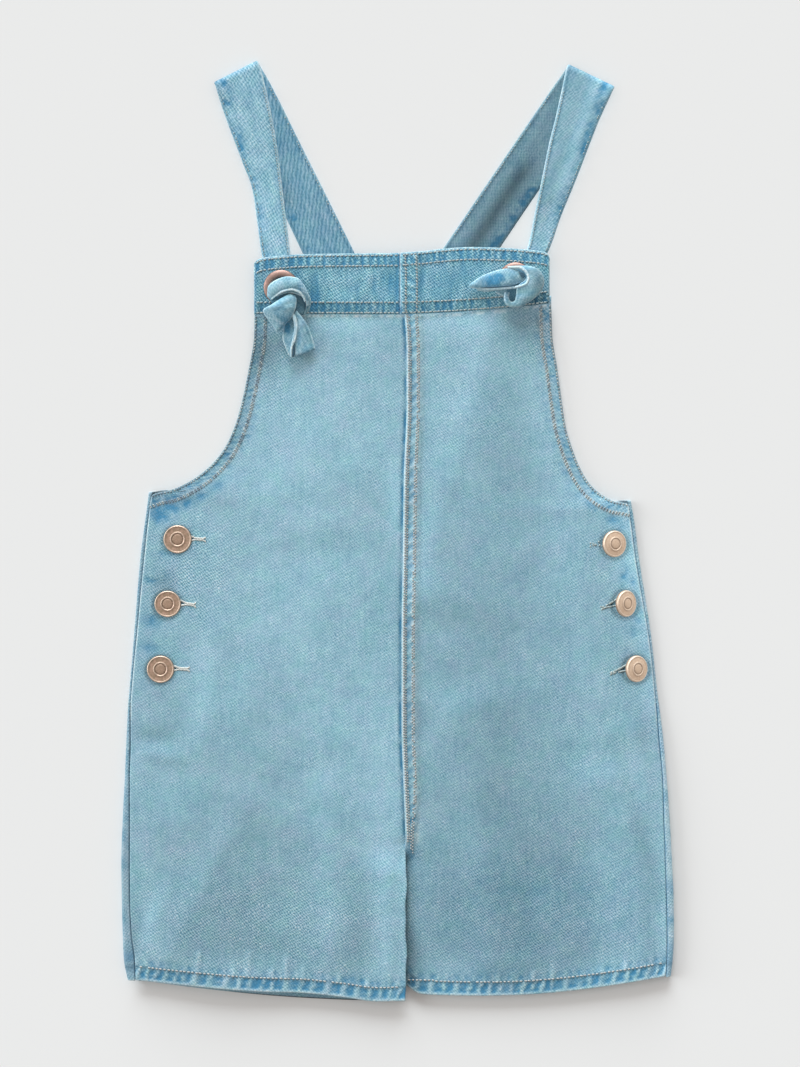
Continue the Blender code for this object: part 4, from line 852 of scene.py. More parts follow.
def front_marks(side, middle, from_edge, from_seam, from_hem):
    """The folds of a front panel and what its cloth shows: returns heights and marks."""
    x, y = middle[..., 0], middle[..., 1]
    left = side == "left"
    base = 11 if left else 29
    wander = wanderer(x, y, base)
    edge_fade = ease(from_edge / 16) * ease(from_seam / 12 + 0.15)
    rise = sum(ridge_rise(ridge, x, y) for ridge in RIDGES[side]) * (0.25 + 0.75 * edge_fade)
    rise = rise * bpy.context.scene.dungarees_sizes.fold_rise
    rise = rise + (0.45 * wander(46, 0) + 0.16 * wander(17, 1)) * edge_fade + 0.05 * wander(6, 2)
    tone = zone_sum(WASH_AND_SHADE_ZONES[side], x, y) + 0.05 * wander(60, 3)
    rope = zone_sum(PATCHES[side], x, y) * (0.6 + 0.6 * wander(3, 4))
    worn = ((0.62 + 0.3 * wander(5, 16)) * bell(from_edge, 0.55) * ease((22 - y) / 2)
            * (1 - 0.85 * ease((-106 - y) / 12)))

    # The armhole's sewn edge, and the band's foot.
    arm = armhole_line(side)
    off, place = arm.near(x, y)
    off = np.where((place > -3) & (place < arm.length + 3), np.abs(off), 99)
    sewn = roping(place, off, uneven(arm.length, 3.6, base + 5), 1.4, 5.8, 0.5, base + 6, 0.26, 0.2, 0.5)
    inside = roping(place, off, uneven(arm.length, 6, base + 17), 7.2, 11.5, 0.1, base + 18, 0.3, 0)
    rope = rope + (0.95 + 0.3 * left * ease((75 - y) / 40)) * sewn + 0.5 * np.maximum(0, inside)
    tone = tone - 0.15 * left * ease((7.5 - off) / 2) * ease((130 - y) / 30)
    tone = tone - (0.3 if left else 0.38) * bell(off, 0.8)
    row = bell(off - ARMHOLE_HEM, 1.3)
    groove = (1 if left else 0.55) * (0.5 * bell(off - 1, 0.6) + (0.35 + 0.5 * wander(1.2, 26)) * row)
    foot = np.interp(x, *np.array(sorted(BAND[side])).T[:2]) - 1.3 - y
    for more in (0.3 * bell(off, 0.7), (0.3 + 0.35 * wander(1.5, 25)) * bell(off - ARMHOLE_HEM, 1.4),
                 0.75 * bell(foot, 0.7) * ease(0.5 + 1.5 * wander(1.5, 22)),
                 (0.4 + 0.45 * wander(1.4, 19)) * bell(from_hem, 1.2)):
        worn = np.maximum(worn, more)

    # The leg hem and the pale creases that rise from it.
    rope = rope + 1.35 * roping(x, from_hem, HEM_DIPS[side], 1.5, 7.6, -0.25, base + 7, 0.17, 0.5, 0.8)
    rope = rope + 0.6 * roping(x, from_hem, uneven(340, 6, base + 8) + x.min(), 9.2, 12.6, 0.1, base + 9)
    groove = groove + 0.7 * bell(from_hem - LEG_HEM, 0.6)
    above = from_hem - LEG_HEM
    for crease_x, length in HEM_CREASES[side]:
        thin = bell(x - crease_x - 0.06 * above, 0.8) * ease(from_hem - 7.6) * ease((length - above) / 5)
        rope, rise = rope - 1.1 * thin, rise + 0.35 * thin

    # The centre seam, and the edges of the legs below it.
    seam_fade = ease((y + 190) / 6)
    if left:
        west = seam_at(y) - x
        valley = bell(west - 0.8, 0.9) * seam_fade
        rope = rope + valley * (0.6 + 0.6 * drift(y, y * 0, 5, base + 14))
        rope = rope - 0.5 * bell(west - 3.6, 1.0) * seam_fade * np.maximum(0, wander(6, 15))
        rise = rise - 0.25 * valley
        tone = tone - 0.05 * bell(west, 5) * seam_fade
        # Painted shade in the slit left of the seam's ridge, near the crotch.
        tone = tone - 0.4 * bell(west - 0.7, 0.6) * seam_fade * ease((-150 - y) / 20)
        tone = tone - 0.12 * bell(from_seam, 0.8) * ease((-192 - y) / 8)
    else:
        dips = uneven(330, 6.4, base + 10)
        for amount, near, far, number in ((0.7, 2.2, 6.8, 11), (0.3, 7.2, 10.5, 13)):
            rope = rope + amount * seam_fade * roping(132 - y, from_seam, dips, near, far, 0.7, base + number)
        rope = rope - 0.2 * seam_fade * bell(from_seam - 9.4, 1.3)
        pale = (0.5 + 0.3 * wander(2, 12) + 0.12 * wander(20, 21)) * bell(from_seam - 0.8, 0.95) * 0.85
        worn = np.maximum(worn, pale * seam_fade)
        pale = (0.28 + 0.3 * wander(1.6, 23)) * bell(from_seam - FELL_WIDTH, 1.5)
        worn = np.maximum(worn, pale * seam_fade)
        groove = groove + 0.3 * seam_fade * (bell(from_seam - 2.6, 0.5)
                                             + wander(1.1, 24) * bell(from_seam - FELL_WIDTH, 1.2))
        tone = tone + 0.06 * seam_fade * bell(from_seam - 5.5, 4)
        # Painted shadow of the left leg's edge on the right leg, wider towards the hem.
        reach = 3 + 8 * ease((-225 - y) / 40)
        tone = tone - 0.42 * ease((CROTCH_Y - y) / 8) * bell(from_seam - 1, reach)

    # Each buttonhole's slit is painted dark as shade, and a painted shadow rings each button.
    for button, hole in zip(BUTTONS[side], BUTTONHOLES[side]):
        ahead = (x - button.x) * (1 if left else -1)
        across = y - button.y - 0.6 + hole.drop * np.clip((ahead - hole.rim) / (hole.end - hole.rim), 0, 1)
        wide = 0.3 + np.clip((hole.joint - ahead) / (hole.joint - hole.rim), 0, 1)
        slit = hole.depth * ease((ahead - 1) / 2) * ease((hole.joint + 1 - ahead) / 2.5) * bell(across, wide)
        away = np.hypot(x - button.x, y - button.y + 0.5)
        groove, rise = groove + 0.9 * slit, rise - 0.5 * slit
        tone = tone - 0.35 * slit - 0.5 * bell(away - 8.2, 1.3) - 0.04 * bell(away, 12)
    rise = rise - bpy.context.scene.dungarees_sizes.pucker * np.clip(rope, -1, 1)
    return rise, marked(rope, worn, groove, tone=tone, coarse=0.1 + zone_sum(COARSE[side], x, y))


def front_piece(side, finish):
    """One front panel and its turned edges."""
    middle, from_edge, from_seam, from_hem, from_top = front_grid(side)
    rise, marks = front_marks(side, middle, from_edge, from_seam, from_hem)
    middle = middle.copy()
    middle[..., 2] += rise
    rim = nearest(from_edge, from_seam, from_hem, from_top)
    part = shell(middle, CLOTH, rim, middle[..., :2], marks)
    thing = make(f"denim_front_{side}", part, finish, "denim_front", f"front_{side}_panel")
    declare(middle, 12.0, 2 * LEG_HEM, front_hems(side, finish))


def strip_under(name, line_points, start, stop, finish, slot, node):
    """A hem's turned-under layer: a narrow shell between two distances from an edge."""
    middle = line_points(np.linspace(start, stop, 7))
    along = np.r_[0, np.cumsum(np.linalg.norm(np.diff(middle[:, 0], axis=0), axis=1))][:, None]
    across = np.linspace(0, abs(stop - start), middle.shape[1])[None, :]
    rim = nearest(across, across[0, -1] - across, along, along[-1] - along)
    part = shell(middle, CLOTH, rim, middle[..., :2], {"tone": -0.1})
    return make(name, part, finish, slot, node)


def front_hems(side, finish):
    """The turned layers of a front panel's armhole and leg."""
    row = front_rows(side, np.linspace(*ARMHOLE_ROWS[side], 120))
    last = len(FRONT[side]) - 1
    length = abs(FRONT[side][last][1] - FRONT[side][last - 1][1])
    under = [0, 0, LAYER + 0.05]

    def armhole(distances):
        return front_section(side, row, lambda width: np.ones_like(width) * distances)[0] - under

    def leg(distances):
        rows = front_rows(side, last - distances / length)
        middle = front_section(side, rows, lambda width: width * np.linspace(0.02, 0.985, 90))[0]
        return (middle - under).transpose(1, 0, 2)

    return (strip_under(f"armhole_turning_{side}", armhole, 0.5, ARMHOLE_HEM, finish, "denim_front",
                        f"armhole_hem_{side}"),
            strip_under(f"leg_turning_front_{side}", leg, 0.6, LEG_HEM, finish, "denim_front",
                        f"front_leg_hem_{side}"))


# ---- the backs -----------------------------------------------------------------------
BACK_STEPS = [0, 0.15, 0.4, 0.9, 1.8, 3.0, 4.5, 6.0, 8.0]
LIP_SHARES = [0.012, 0.024, 0.036, 0.05, 0.07, 0.12, 0.2, 0.4, 0.6, 0.75, 0.86, 0.93, 0.975, 1.0]


def back_flat_y(side, y, x, outer, share_in):
    """The height up the garment of a point of the flat back, with its raised centre and curved hem."""
    top, bottom = BACK[side][0][0], BACK[side][-1][0]
    fade = np.clip(1 - (top - y) / 37, 0, 1)
    away = np.abs(x - BACK_SEAM_X) / np.abs(outer - BACK_SEAM_X)
    lift = (BACK_TOP_Y - top) * fade * ease(1 - away)
    hem, bow = BACK_HEM[side]
    near_hem = np.clip(1 - (y - bottom) / 26, 0, 1)
    weight = np.where(near_hem > 0.5, 0.45 + (near_hem - 0.5) * 1.1, near_hem * 0.9)
    drop = ((hem - bottom) * share_in + bow * np.sin(math.pi * share_in)) * weight
    curl = 7 * bell(x - 5, 8) * ease((near_hem - 0.72) / 0.28) * (side == "right")
    return y + lift + drop + curl


def back_grid(side):
    """A back panel: its grid, the distances across it, down from its top and up from its hem."""
    rows = np.array(BACK[side])
    away = 1.0 if side == "right" else -1.0
    top, bottom = rows[0, 0], rows[-1, 0]
    places = top - spread(top - bottom, BACK_STEPS[:6], BACK_STEPS, 2.4)
    table = smooth(-rows[:, 0], rows[:, 1:], -places)
    outer, radius, end = (table[:, i:i + 1] for i in range(3))
    y = places[:, None]
    seam_side = ease((y + 186) / 8)
    inner = (BACK_SEAM_X + away * 0.15) * seam_side + (LEG_EDGE_X + away * 0.4) * (1 - seam_side)
    turn = outer - away * (CLOTH / 2 + radius)
    share = np.r_[0, 0.001, 0.003, 0.007, 0.013, np.linspace(0.02, 1, 50)]
    flat_x = inner + (turn - inner) * share
    angle = np.radians(np.linspace(14, 144, 11))
    fold_x = turn + away * radius * np.sin(angle)
    fold_z = CLOTH / 2 + radius * (1 - np.cos(angle))
    lip = np.array(LIP_SHARES)
    lip_x = fold_x[:, -1:] + (end - fold_x[:, -1:]) * lip
    lip_z = fold_z[:, -1:] + (CLOTH / 2 + 2 * radius - fold_z[:, -1:]) * ease(np.sqrt(lip))
    x = np.hstack([flat_x, fold_x, lip_x])
    z = np.hstack([np.full(flat_x.shape, CLOTH / 2), fold_z, lip_z])
    rest = np.broadcast_to(back_flat_y(side, y, turn, outer, 0.0), (len(y), x.shape[1] - len(share)))
    middle = np.stack([x, np.hstack([back_flat_y(side, y, flat_x, outer, 1 - share), rest]), z], axis=-1)
    across = np.cumsum(np.linalg.norm(np.diff(middle, axis=1), axis=2), axis=1)
    across = np.hstack([np.zeros((len(y), 1)), across])
    down = (top - y) + np.zeros_like(x)
    return middle, y, outer, across, down, down[-1] - down


def back_piece(side, finish):
    """One back panel, with its side fold, its button stand and its turned leg hem."""
    left = side == "left"
    away = -1.0 if left else 1.0
    middle, y, outer, across, down, from_hem = back_grid(side)
    x, z = middle[..., 0], middle[..., 2]
    out, edge = np.abs(x), np.abs(outer)
    raised = 1.3 * ease((out - edge + (17 if left else 10.5)) / 5) * np.exp(-down / 6)
    raised = raised + left * bell(out - 140, 4.5) * np.exp(-down / 4)
    middle[..., 1] += raised
    height = middle[..., 1]
    base = 61 if left else 73
    shown = ease((z - 1) / 0.6)
    wander = wanderer(x, height, base)
    rope = 0.4 * wander(5, 0) * (1 - shown)
    rope = rope + 0.7 * roping(height, from_hem, uneven(340, 7, base + 1), 1, 8, 0.3, base + 2)
    for patch_y in {"left": (-253, -255), "right": (-212, -233, -248, -257)}[side]:
        rope = rope + 0.6 * bell(height - patch_y, 2.8) * shown
    worn = (0.35 * bell(from_hem, 0.9) + 0.3 * bell(down, 0.6)
            + shown * (0.22 + 0.2 * wander(4, 5)))
    groove = 0.5 * bell(across - 6.5, 0.7) * (y > -186) + 0.7 * bell(from_hem - LEG_HEM, 0.6)
    groove = groove + shown * (0.4 if left else 0.16) * ease((y + 268) / 8)
    # A dark line on the shown strip beside the front's edge: painted shadow.
    lip_at = np.interp(-y, [-row[1] for row in FRONT[side]], [abs(row[0]) for row in FRONT[side]])
    groove = groove + 0.9 * shown * bell(out - lip_at - 0.35, 0.4)
    sliver = raised * ease((edge - 1.8 - out) / 0.6)
    low, high = (-0.12, -0.14) if left else (0.22, 0.1)
    # The last two terms are painted shade: inside the left leg's opening at the hem, and in the sliver of the
    # back's raised top edge under the front's corner.
    tone = (0.05 * wander(40, 3) + low * shown * ease((-110 - y) / 20)
            + high * shown * ease((y + 130) / 20)
            - 0.82 * left * np.exp(-((x + 52) / 50) ** 4) * ease((6 - from_hem) / 3)
            - 0.66 * np.clip(sliver, 0, 1) * bell(down - 0.7, 2))
    marks = marked(rope, worn, groove, tone=tone, coarse=shown)
    cloth = np.stack([across * away, height], axis=-1)
    part = shell(middle, CLOTH, nearest(across, across[:, -1:] - across, down, from_hem), cloth, marks)
    thing = make(f"denim_back_{side}", part, finish, "denim_back", f"back_{side}_panel")
    rows = np.array(BACK[side])

    def leg(distances):
        share = np.linspace(0.015, 0.97, 80)[:, None]
        places = rows[-1, 0] + distances
        table = smooth(-rows[:, 0], rows[:, 1:], -places)
        fold_at, bend = table[:, 0][None, :], table[:, 1][None, :]
        start = LEG_EDGE_X + away * 0.4
        px = start + (fold_at - away * (CLOTH / 2 + bend) - start) * share
        py = back_flat_y(side, places[None, :], px, fold_at, 1 - share)
        return np.stack([px, py, np.full(px.shape, CLOTH / 2 + LAYER)], axis=-1)

    hem = strip_under(f"leg_turning_back_{side}", leg, 0.5, LEG_HEM, finish, "denim_back",
                      f"back_leg_hem_{side}")
    declare(middle, 12.0, 2 * LEG_HEM, [hem])


# ---- the bib band --------------------------------------------------------------------
BAND_ENDS = [0, 0.12, 0.4, 0.9, 1.5, 2.2, 3.0]
BAND_PATCHES = {
    "left": [(-5, 148, 3.4, 9, 0, 0.6), (-21, 148, 3, 4, 0, 0.3), (-49, 139, 4, 7, 0, 0.5),
             (-30, 150, 14, 3, 10, -0.3)],
    "right": [(24, 150, 8, 9, 0, 0.1), (40, 152, 5, 9, -20, 0.2), (14, 150, 2, 12, 0, 0.5)],
}
# Lighter and darker zones of the band: middle x and y, half width, half height, turn, tone; the darker ones
# by and under the knots are painted shade.
BAND_WASH_AND_SHADE_ZONES = {
    "left": [(-83, 142, 6, 16, 0, -0.12), (-40, 139, 22, 6, 0, 0.08)],
    "right": [(82, 143, 12, 12, 0, -0.25), (50, 150, 24, 9, 0, -0.05), (82, 139, 9, 9, 0, -0.22)],
}
HOLE_RADIUS = 7.4           # the eyelet's hole in the band


def band_piece(side, finish):
    """One half of the bib's band, with the hole for its eyelet."""
    left = side == "left"
    rows = np.array(BAND[side])
    length = abs(rows[-1, 0] - rows[0, 0])
    places = spread(length, BAND_ENDS, BAND_ENDS, 1.05)
    table = smooth(np.abs(rows[:, 0] - rows[0, 0]), rows, places)
    x, low, high, lift = (table[:, i:i + 1] for i in range(4))
    up = spread(36.0, BAND_ENDS, BAND_ENDS, 1.05) / 36
    y = low + (high - low) * up
    x = np.broadcast_to(x, y.shape)
    from_top, from_bottom = (high - low) * (1 - up), (high - low) * up
    along = places[:, None]
    from_end = np.broadcast_to(along, y.shape)
    from_centre = length - from_end
    base = 101 if left else 113
    wander = wanderer(x, y, base)
    rope = 0.1 if left else -0.03
    for amount, off, far, number, slant in ((1.35, from_top, (1.5, 7.4), 0, 0.05),
                                            (1.15, from_bottom, (1.2, 6.8), 2, -0.05)):
        dips = uneven(length, 4.4, base + number)
        rope = rope + amount * roping(along, off, dips, *far, slant, base + number + 1, 0.2, 0.4, 0.7)
    upright = 0.5 * wander(1.6, 4, 5) + 0.45 * wander(4.5, 5, 3)
    rope = rope + (0.7 if left else 0.5) * upright + zone_sum(BAND_PATCHES[side], x, y)
    worn = np.maximum((0.5 + 0.4 * wander(1.3, 10)) * bell(from_top, 0.9), 0.3 * bell(from_end, 0.7))
    groove = (0.7 * bell(from_top - 1.5, 0.6) + 0.8 * bell(from_top - 7.6, 0.7)
              + 0.3 * bell(from_bottom - 7, 0.7) + 0.25 * bell(from_bottom - 0.9, 0.6))
    if left:
        rope = rope + 0.5 * bell(from_centre - 1.6, 1.0)
    else:
        worn = np.maximum(worn, 0.12 * bell(from_centre - 0.5, 0.6))
        groove = groove + 0.5 * bell(from_centre - 2.7, 0.6) + 0.5 * bell(from_centre - 9.3, 0.6)
        dips = uneven(60, 5.5, base + 6) + 128
        rope = rope + 0.8 * roping(y, from_centre, dips, 2.8, 9, 0.4, base + 7)
    radial = np.hypot(x - EYELETS[side][0], y - EYELETS[side][1])
    tone = (0.02 if left else 0.0) - 0.2 * bell(from_top, 0.8) + 0.06 * wander(20, 8)
    # Darker round the eyelet: painted shade of the knot on the band.
    tone = tone - (0.32 if left else 0.15) * bell(radial, 16) + zone_sum(BAND_WASH_AND_SHADE_ZONES[side], x, y)
    z = BAND_HEIGHT + lift - 0.5 * ease((3 - from_top) / 3) - 1.4 * np.exp(-from_bottom / 3)
    z = z - 0.4 * np.clip(rope, -1, 1) + 0.12 * wander(8, 9)
    middle = np.stack([x, y, z], axis=-1)
    rim = nearest(from_top, from_bottom, from_end, from_centre)
    cell = 0.25 * (radial[:-1, :-1] + radial[1:, :-1] + radial[:-1, 1:] + radial[1:, 1:])
    marks = marked(rope, worn, groove, tone=tone, coarse=0.8)
    part = shell(middle, BAND_WALL, rim, middle[..., :2], marks, keep=cell > HOLE_RADIUS)
    thing = make(f"denim_band_{side}", part, finish, "denim_band", f"bib_band_{side}")
    declare(middle, 4.0)


# ---- straps and knots ----------------------------------------------------------------
def strip(stations, step, columns, crown=0.0):
    """A strip of folded cloth between its two edges: its grid, width and place along."""
    stations = np.asarray(stations, float)
    centre = np.column_stack([(stations[:, 0:2] + stations[:, 2:4]) / 2, stations[:, 4]])
    chord = np.r_[0, np.cumsum(np.linalg.norm(np.diff(centre, axis=0), axis=1))]
    ends = [0, 0.1, 0.3, 0.6, 1.0]
    places = spread(chord[-1], ends, ends, step)
    table = smooth(chord, stations, places)
    share = 0.5 - 0.5 * np.cos(math.pi * np.linspace(0, 1, columns))
    a, b = table[:, None, 0:2], table[:, None, 2:4]
    flat = a + (b - a) * share[None, :, None]
    width = np.linalg.norm(table[:, 2:4] - table[:, 0:2], axis=1)[:, None]
    z = table[:, 4:5] + crown * (1 - (2 * share - 1) ** 2) * np.minimum(1, width / 6)
    along = np.broadcast_to(places[:, None], z.shape)
    outer = width * share
    return np.concatenate([flat, z[..., None]], axis=2), outer, width - outer, along, chord[-1]


def shoulder_stations(fold):
    """The strap's half turn over the shoulder."""
    outer, inner = Vector(fold[0:2]), Vector(fold[2:4])
    along = (inner - outer).normalized()
    up = Vector((-along.y, along.x))
    up = -up if up.y < 0 else up
    stations = []
    for angle in np.linspace(0, math.pi, 9):
        reach = up * (SHOULDER_RADIUS * math.sin(angle) - SHOULDER_RADIUS - STRAP_WALL / 2)
        height = fold[4] + SHOULDER_RADIUS * (1 - math.cos(angle))
        stations.append((*(outer + reach), *(inner + reach), height))
    return stations


# Blue patches beside the straps' outer edge, in front and behind: y, half length, depth, inset.
STRAP_PATCHES = {
    "left": [(267, 4, 1.5, 5.4), (258, 4, 1.2, 4.4), (241, 6, 1.2, 4.4), (231, 4, 1, 2.8), (208, 4, 0.5, 3.2),
             (190, 4, 0.4, 3.2)],
    "right": [(265, 5, 1.3, 6.4), (253, 4, 1.2, 4.6), (241, 6, 1, 3.6), (229, 4, 0.9, 3.4),
              (191, 4, 0.8, 3.2)],
}
BACK_PATCHES = {
    "left": [(240, 6, 0.5), (210, 5, 0.5), (186, 4, 0.5)],
    "right": [(203, 3, 1.4), (196, 3, 1.4), (189, 3, 1.4), (180, 4, 1.4), (172, 4, 1.3)],
}


def strap_piece(side, finish):
    """One shoulder strap, from the back over the shoulder to its eyelet."""
    left = side == "left"
    stations = STRAP_BACK[side] + shoulder_stations(STRAP_FOLD[side]) + STRAP_FRONT[side]
    middle, outer, inner, along, length = strip(stations, 1.3, 30)
    base = 131 if left else 149
    x, y, z = (middle[..., i] for i in range(3))
    wander = wanderer(outer, along, base)
    front = ease((z - 1.9) / 0.6) * (along > 0.5 * length)
    back = 1 - front
    width = outer + inner
    above_bib = ease((y - 172) / 20)
    z = z + (0.5 * wander(24, 0) + 0.18 * wander(8, 1)) * ease((y - 172) / 12) * 0.6
    z = z - 1.7 * front * above_bib * ease((264 - y) / 14) * np.exp(-outer / 5)
    rope = 0.2 * wander(2.4, 4, 3.0)
    ragged = 0.55 + 0.9 * wander(2.6, 7)
    for patch_y, half, depth, inset in STRAP_PATCHES[side]:
        rope = rope + depth * front * bell(y - patch_y, half) * bell(outer - inset, 2.3) * ragged
    for patch_y, half, depth in BACK_PATCHES[side]:
        rope = rope + depth * back * bell(y - patch_y, half) * bell(outer - 3.6, 2.4) * ragged
    dips = uneven(length, 6, base + 2)
    for edge, amount in ((outer, 0.3), (inner, 0.2)):
        rope = rope + amount * roping(along, edge, dips, 1.3, 5, 0.3, base + 3)
    worn = bell(inner, 0.75) * (0.2 + 0.38 * front) * (0.8 + 0.5 * wander(1.5, 8)) + 0.15 * bell(outer, 0.6)
    groove = 0.3 * bell(inner - 1.9, 0.6) + 0.4 * bell(outer - 1.3, 0.6)
    fold_at = 0.5 * (along[np.argmax(y[:, 0]), 0] + along[np.argmax(y[:, -1]), 0])
    # Painted shade over the shoulder fold and along the outer edge, where light falls on them.
    tone = 0.05 * wander(30, 5) - 0.3 * bell(along - fold_at, 1.5) - 0.1 * bell(outer, 0.8)
    if left:
        rope = rope + 0.28 * back
        # On the back part, a painted shadow of the front part beside it.
        tone = tone - 0.12 * back - 0.34 * back * bell(outer, 8) * ease((y - 190) / 10)
        tone = tone + 0.07 * front * ease((230 - y) / 60)
        streaked, coarse = back, 0.3 * front
    else:
        dark = bell(outer - 0.5 * width, 4.6) * ease((228 - y) / 16)
        light = bell(inner - 5, 3.6) * ease((262 - y) / 10)
        tone = tone + back * (0.09 * light - 0.45 - 0.28 * dark)
        share = outer / width
        tone = tone + 0.14 * front * (ease(2 - 3 * share) - ease(3 * share - 1)) * above_bib
        streaked, coarse = 0.12 * back, 0.5 * front * ease((212 - y) / 14)
    z = np.maximum(z - 0.2 * np.clip(rope, -1, 1), STRAP_WALL / 2 + 0.02)
    middle = np.stack([x, y, z], axis=-1)
    marks = marked(rope, worn, groove, tone=tone, streaked=streaked, coarse=coarse)
    rim = nearest(outer, inner, along, length - along)
    part = shell(middle, STRAP_WALL, rim, np.stack([outer, along], axis=-1), marks)
    thing = make(f"denim_strap_{side}", part, finish, "denim_strap", f"strap_{side}")
    declare(middle, 2.0)


KNOT_SHARE = 0.9935          # the knots lie this much nearer the middle than their solids
KNOT_PATCHES = {
    "left": [(-66.4, 122, 3.6, 5, 0, 1.3), (-70, 134, 4, 3, 0, 0.4)],
    "right": [(58.5, 150.8, 6, 2.8, 15, 2.2), (68, 152.5, 2.5, 2, 0, 0.4)],
}


def knot_piece(side, finish):
    """A knotted strap end: its passes, each of them a strip of folded strap."""
    parts, area = [], 0.0
    for number, one in enumerate(KNOT[side]):
        middle, outer, inner, along, length = strip(one.stations, 0.55, 24, one.crown)
        seed = number + (171 if side == "left" else 191)
        x, y, z = (middle[..., i] for i in range(3))
        wander = wanderer(outer, along, seed)
        rim = nearest(outer, inner, along, length - along)
        rope = 0.3 * wander(4, 0) + 0.2 * wander(1.8, 20, 2.5)
        rope = rope + zone_sum(KNOT_PATCHES[side], x, y) * (0.7 + 0.5 * drift(x, y, 1.6, seed))
        worn = (0.5 + 0.4 * wander(2, 80)) * bell(np.minimum(outer, inner), 0.6)
        groove = 0.35 * bell(inner - 1.6, 0.5)
        # The lowest pass is painted as shade under the knot, and the darkest passes as shade in its openings.
        if number == 0:
            worn, groove = worn * 0, groove * 0 + 0.55
        if one.tone < -0.5:
            worn, groove = worn * 0, groove + 1
        elif one.tone > 0.2:
            worn = 0.55 + 0.3 * wander(1.5, 90)
        # The right knot's loop is painted darker on its right and its lower side, as shade.
        tone = one.tone * 0.6 + 0.08 * wander(7, 40) - 0.25 * ease((x - 79) / 6)
        tone = tone - 0.2 * ease((142 - y) / 4) * (x > 66)
        marks = marked(rope, worn, groove, tone=tone, streaked=0.45 * (side == "left" and number == 5))
        bumpy = z + 0.22 * wander(4, 60) * ease(rim / 1.5)
        middle = np.stack([x * KNOT_SHARE, y * KNOT_SHARE, bumpy], axis=-1)
        cloth = np.stack([outer + 31 * number, along], axis=-1)
        parts.append(shell(middle, one.wall, rim, cloth, marks))
        area += grid_area(strip(one.stations, 0.8, 10, one.crown)[0])
    thing = make(f"denim_knot_{side}", join(parts), finish, "denim_strap", f"knot_{side}")


# ---- metal ---------------------------------------------------------------------------
def lathe(profile, sides, place, lean=0.0, outward=1.0, size=1.0, dome=0.0):
    """A turned piece about its own axis: profile rows are radius, height, worn, groove."""
    profile = np.asarray(profile, float)
    turn = np.linspace(0, 2 * math.pi, sides, endpoint=False)
    r, h = profile[:, 0:1] * size, profile[:, 1:2]
    h = h + dome * np.maximum(0, 1 - (r / 8) ** 2) * (h > 1.9)
    x, y, z = r * np.cos(turn), r * np.sin(turn), h + 0 * turn
    a = math.radians(lean) * outward
    x, z = x * math.cos(a) + z * math.sin(a), -x * math.sin(a) + z * math.cos(a)
    points = (np.stack([x, y, z], axis=-1) + place).reshape(-1, 3)
    index = np.arange(len(profile) * sides).reshape(len(profile), sides)
    ahead = np.roll(index, -1, axis=1)
    faces = np.stack([index[:-1], index[1:], ahead[1:], ahead[:-1]], axis=-1).reshape(-1, 4)
    cloth = np.stack([np.broadcast_to(turn * 8, x.shape), r + 0 * turn], axis=-1).reshape(-1, 2)
    return Part(points, faces, cloth, plain_marks(len(points), worn=np.repeat(profile[:, 2], sides),
                                                  groove=np.repeat(profile[:, 3], sides)))


# A tack button's face from the middle out: radius, height, worn, groove. The groove is tarnish in the
# face's hollows and painted shade on the side wall, a dark outline round the button.
BUTTON_FACE = [
    (0.02, 2.44, 0, 0), (1.2, 2.44, 0, 0.05), (2.5, 2.42, 0.05, 0.1), (2.95, 2.34, 0, 0.5),
    (3.15, 2.2, 0, 0.8), (3.4, 2.2, 0, 0.8), (3.65, 2.38, 0.1, 0.3), (3.9, 2.56, 0.6, 0), (4.15, 2.6, 0.8, 0),
    (4.4, 2.5, 0.3, 0.1), (4.65, 2.34, 0, 0.4), (5.1, 2.3, 0, 0.1), (6, 2.33, 0.05, 0),
    (6.9, 2.36, 0.05, 0.1), (7.3, 2.42, 0.1, 0.3), (7.55, 2.56, 0.5, 0), (7.8, 2.66, 0.8, 0),
    (8.05, 2.58, 0.6, 0), (8.3, 2.3, 0.2, 0.1), (8.45, 1.85, 0, 0.8), (8.5, 1.2, 0, 1), (8.35, 0.6, 0, 0.8),
    (7.9, 0.15, 0, 0.9), (7, 0, 0, 1), (1.6, 0, 0, 1), (1.5, -0.6, 0, 1), (1.5, -2.4, 0, 1),
    (0.02, -2.4, 0, 1),
]
BUTTON_SIZES = {"left": (1.0, 0.94, 0.97), "right": (0.94, 0.94, 0.94)}
# Where each buttonhole's thread comes out from under its button, joins and ends, its drop, how
# deep its slit looks (its dip and its painted shade), and the share of its stitches that are missing.
Buttonhole = namedtuple("Buttonhole", "rim joint end drop depth missing")
BUTTONHOLES = {
    "left": [Buttonhole(7.6, 11.0, 17.0, 0.7, 1, 0), Buttonhole(7.6, 11.6, 17.0, 1.2, 1, 0),
             Buttonhole(7.6, 11.4, 17.6, 0.6, 1, 0)],
    "right": [Buttonhole(6.6, 11.5, 14.5, 1.0, 0.25, 0.6), Buttonhole(5.2, 12.4, 14.6, 3.6, 0.7, 0.25),
              Buttonhole(5.2, 12.8, 16.2, 3.9, 0.7, 0.2)],
}
# An eyelet from its bore outwards and back below: radius, height, worn, groove.
EYELET_FACE = [
    (5.6, 5, 0, 0.8), (5.6, 6.6, 0, 0.6), (5.75, 7.6, 0.1, 0.3), (6.2, 8.1, 0.2, 0.1), (6.9, 8.45, 0.3, 0),
    (7.8, 8.5, 0.35, 0), (8.8, 8.35, 0.3, 0), (9.6, 8.05, 0.2, 0), (10.2, 7.75, 0.2, 0.1),
    (10.5, 7.45, 0.1, 0.3), (10.45, 7.2, 0, 0.6), (8.2, 7.2, 0, 1), (6.3, 7.2, 0, 1), (6.3, 5, 0, 1),
    (8.5, 5, 0, 0.6), (8.5, 4.3, 0, 0.4), (5.6, 4.3, 0, 0.6), (5.6, 5, 0, 0.8),
]


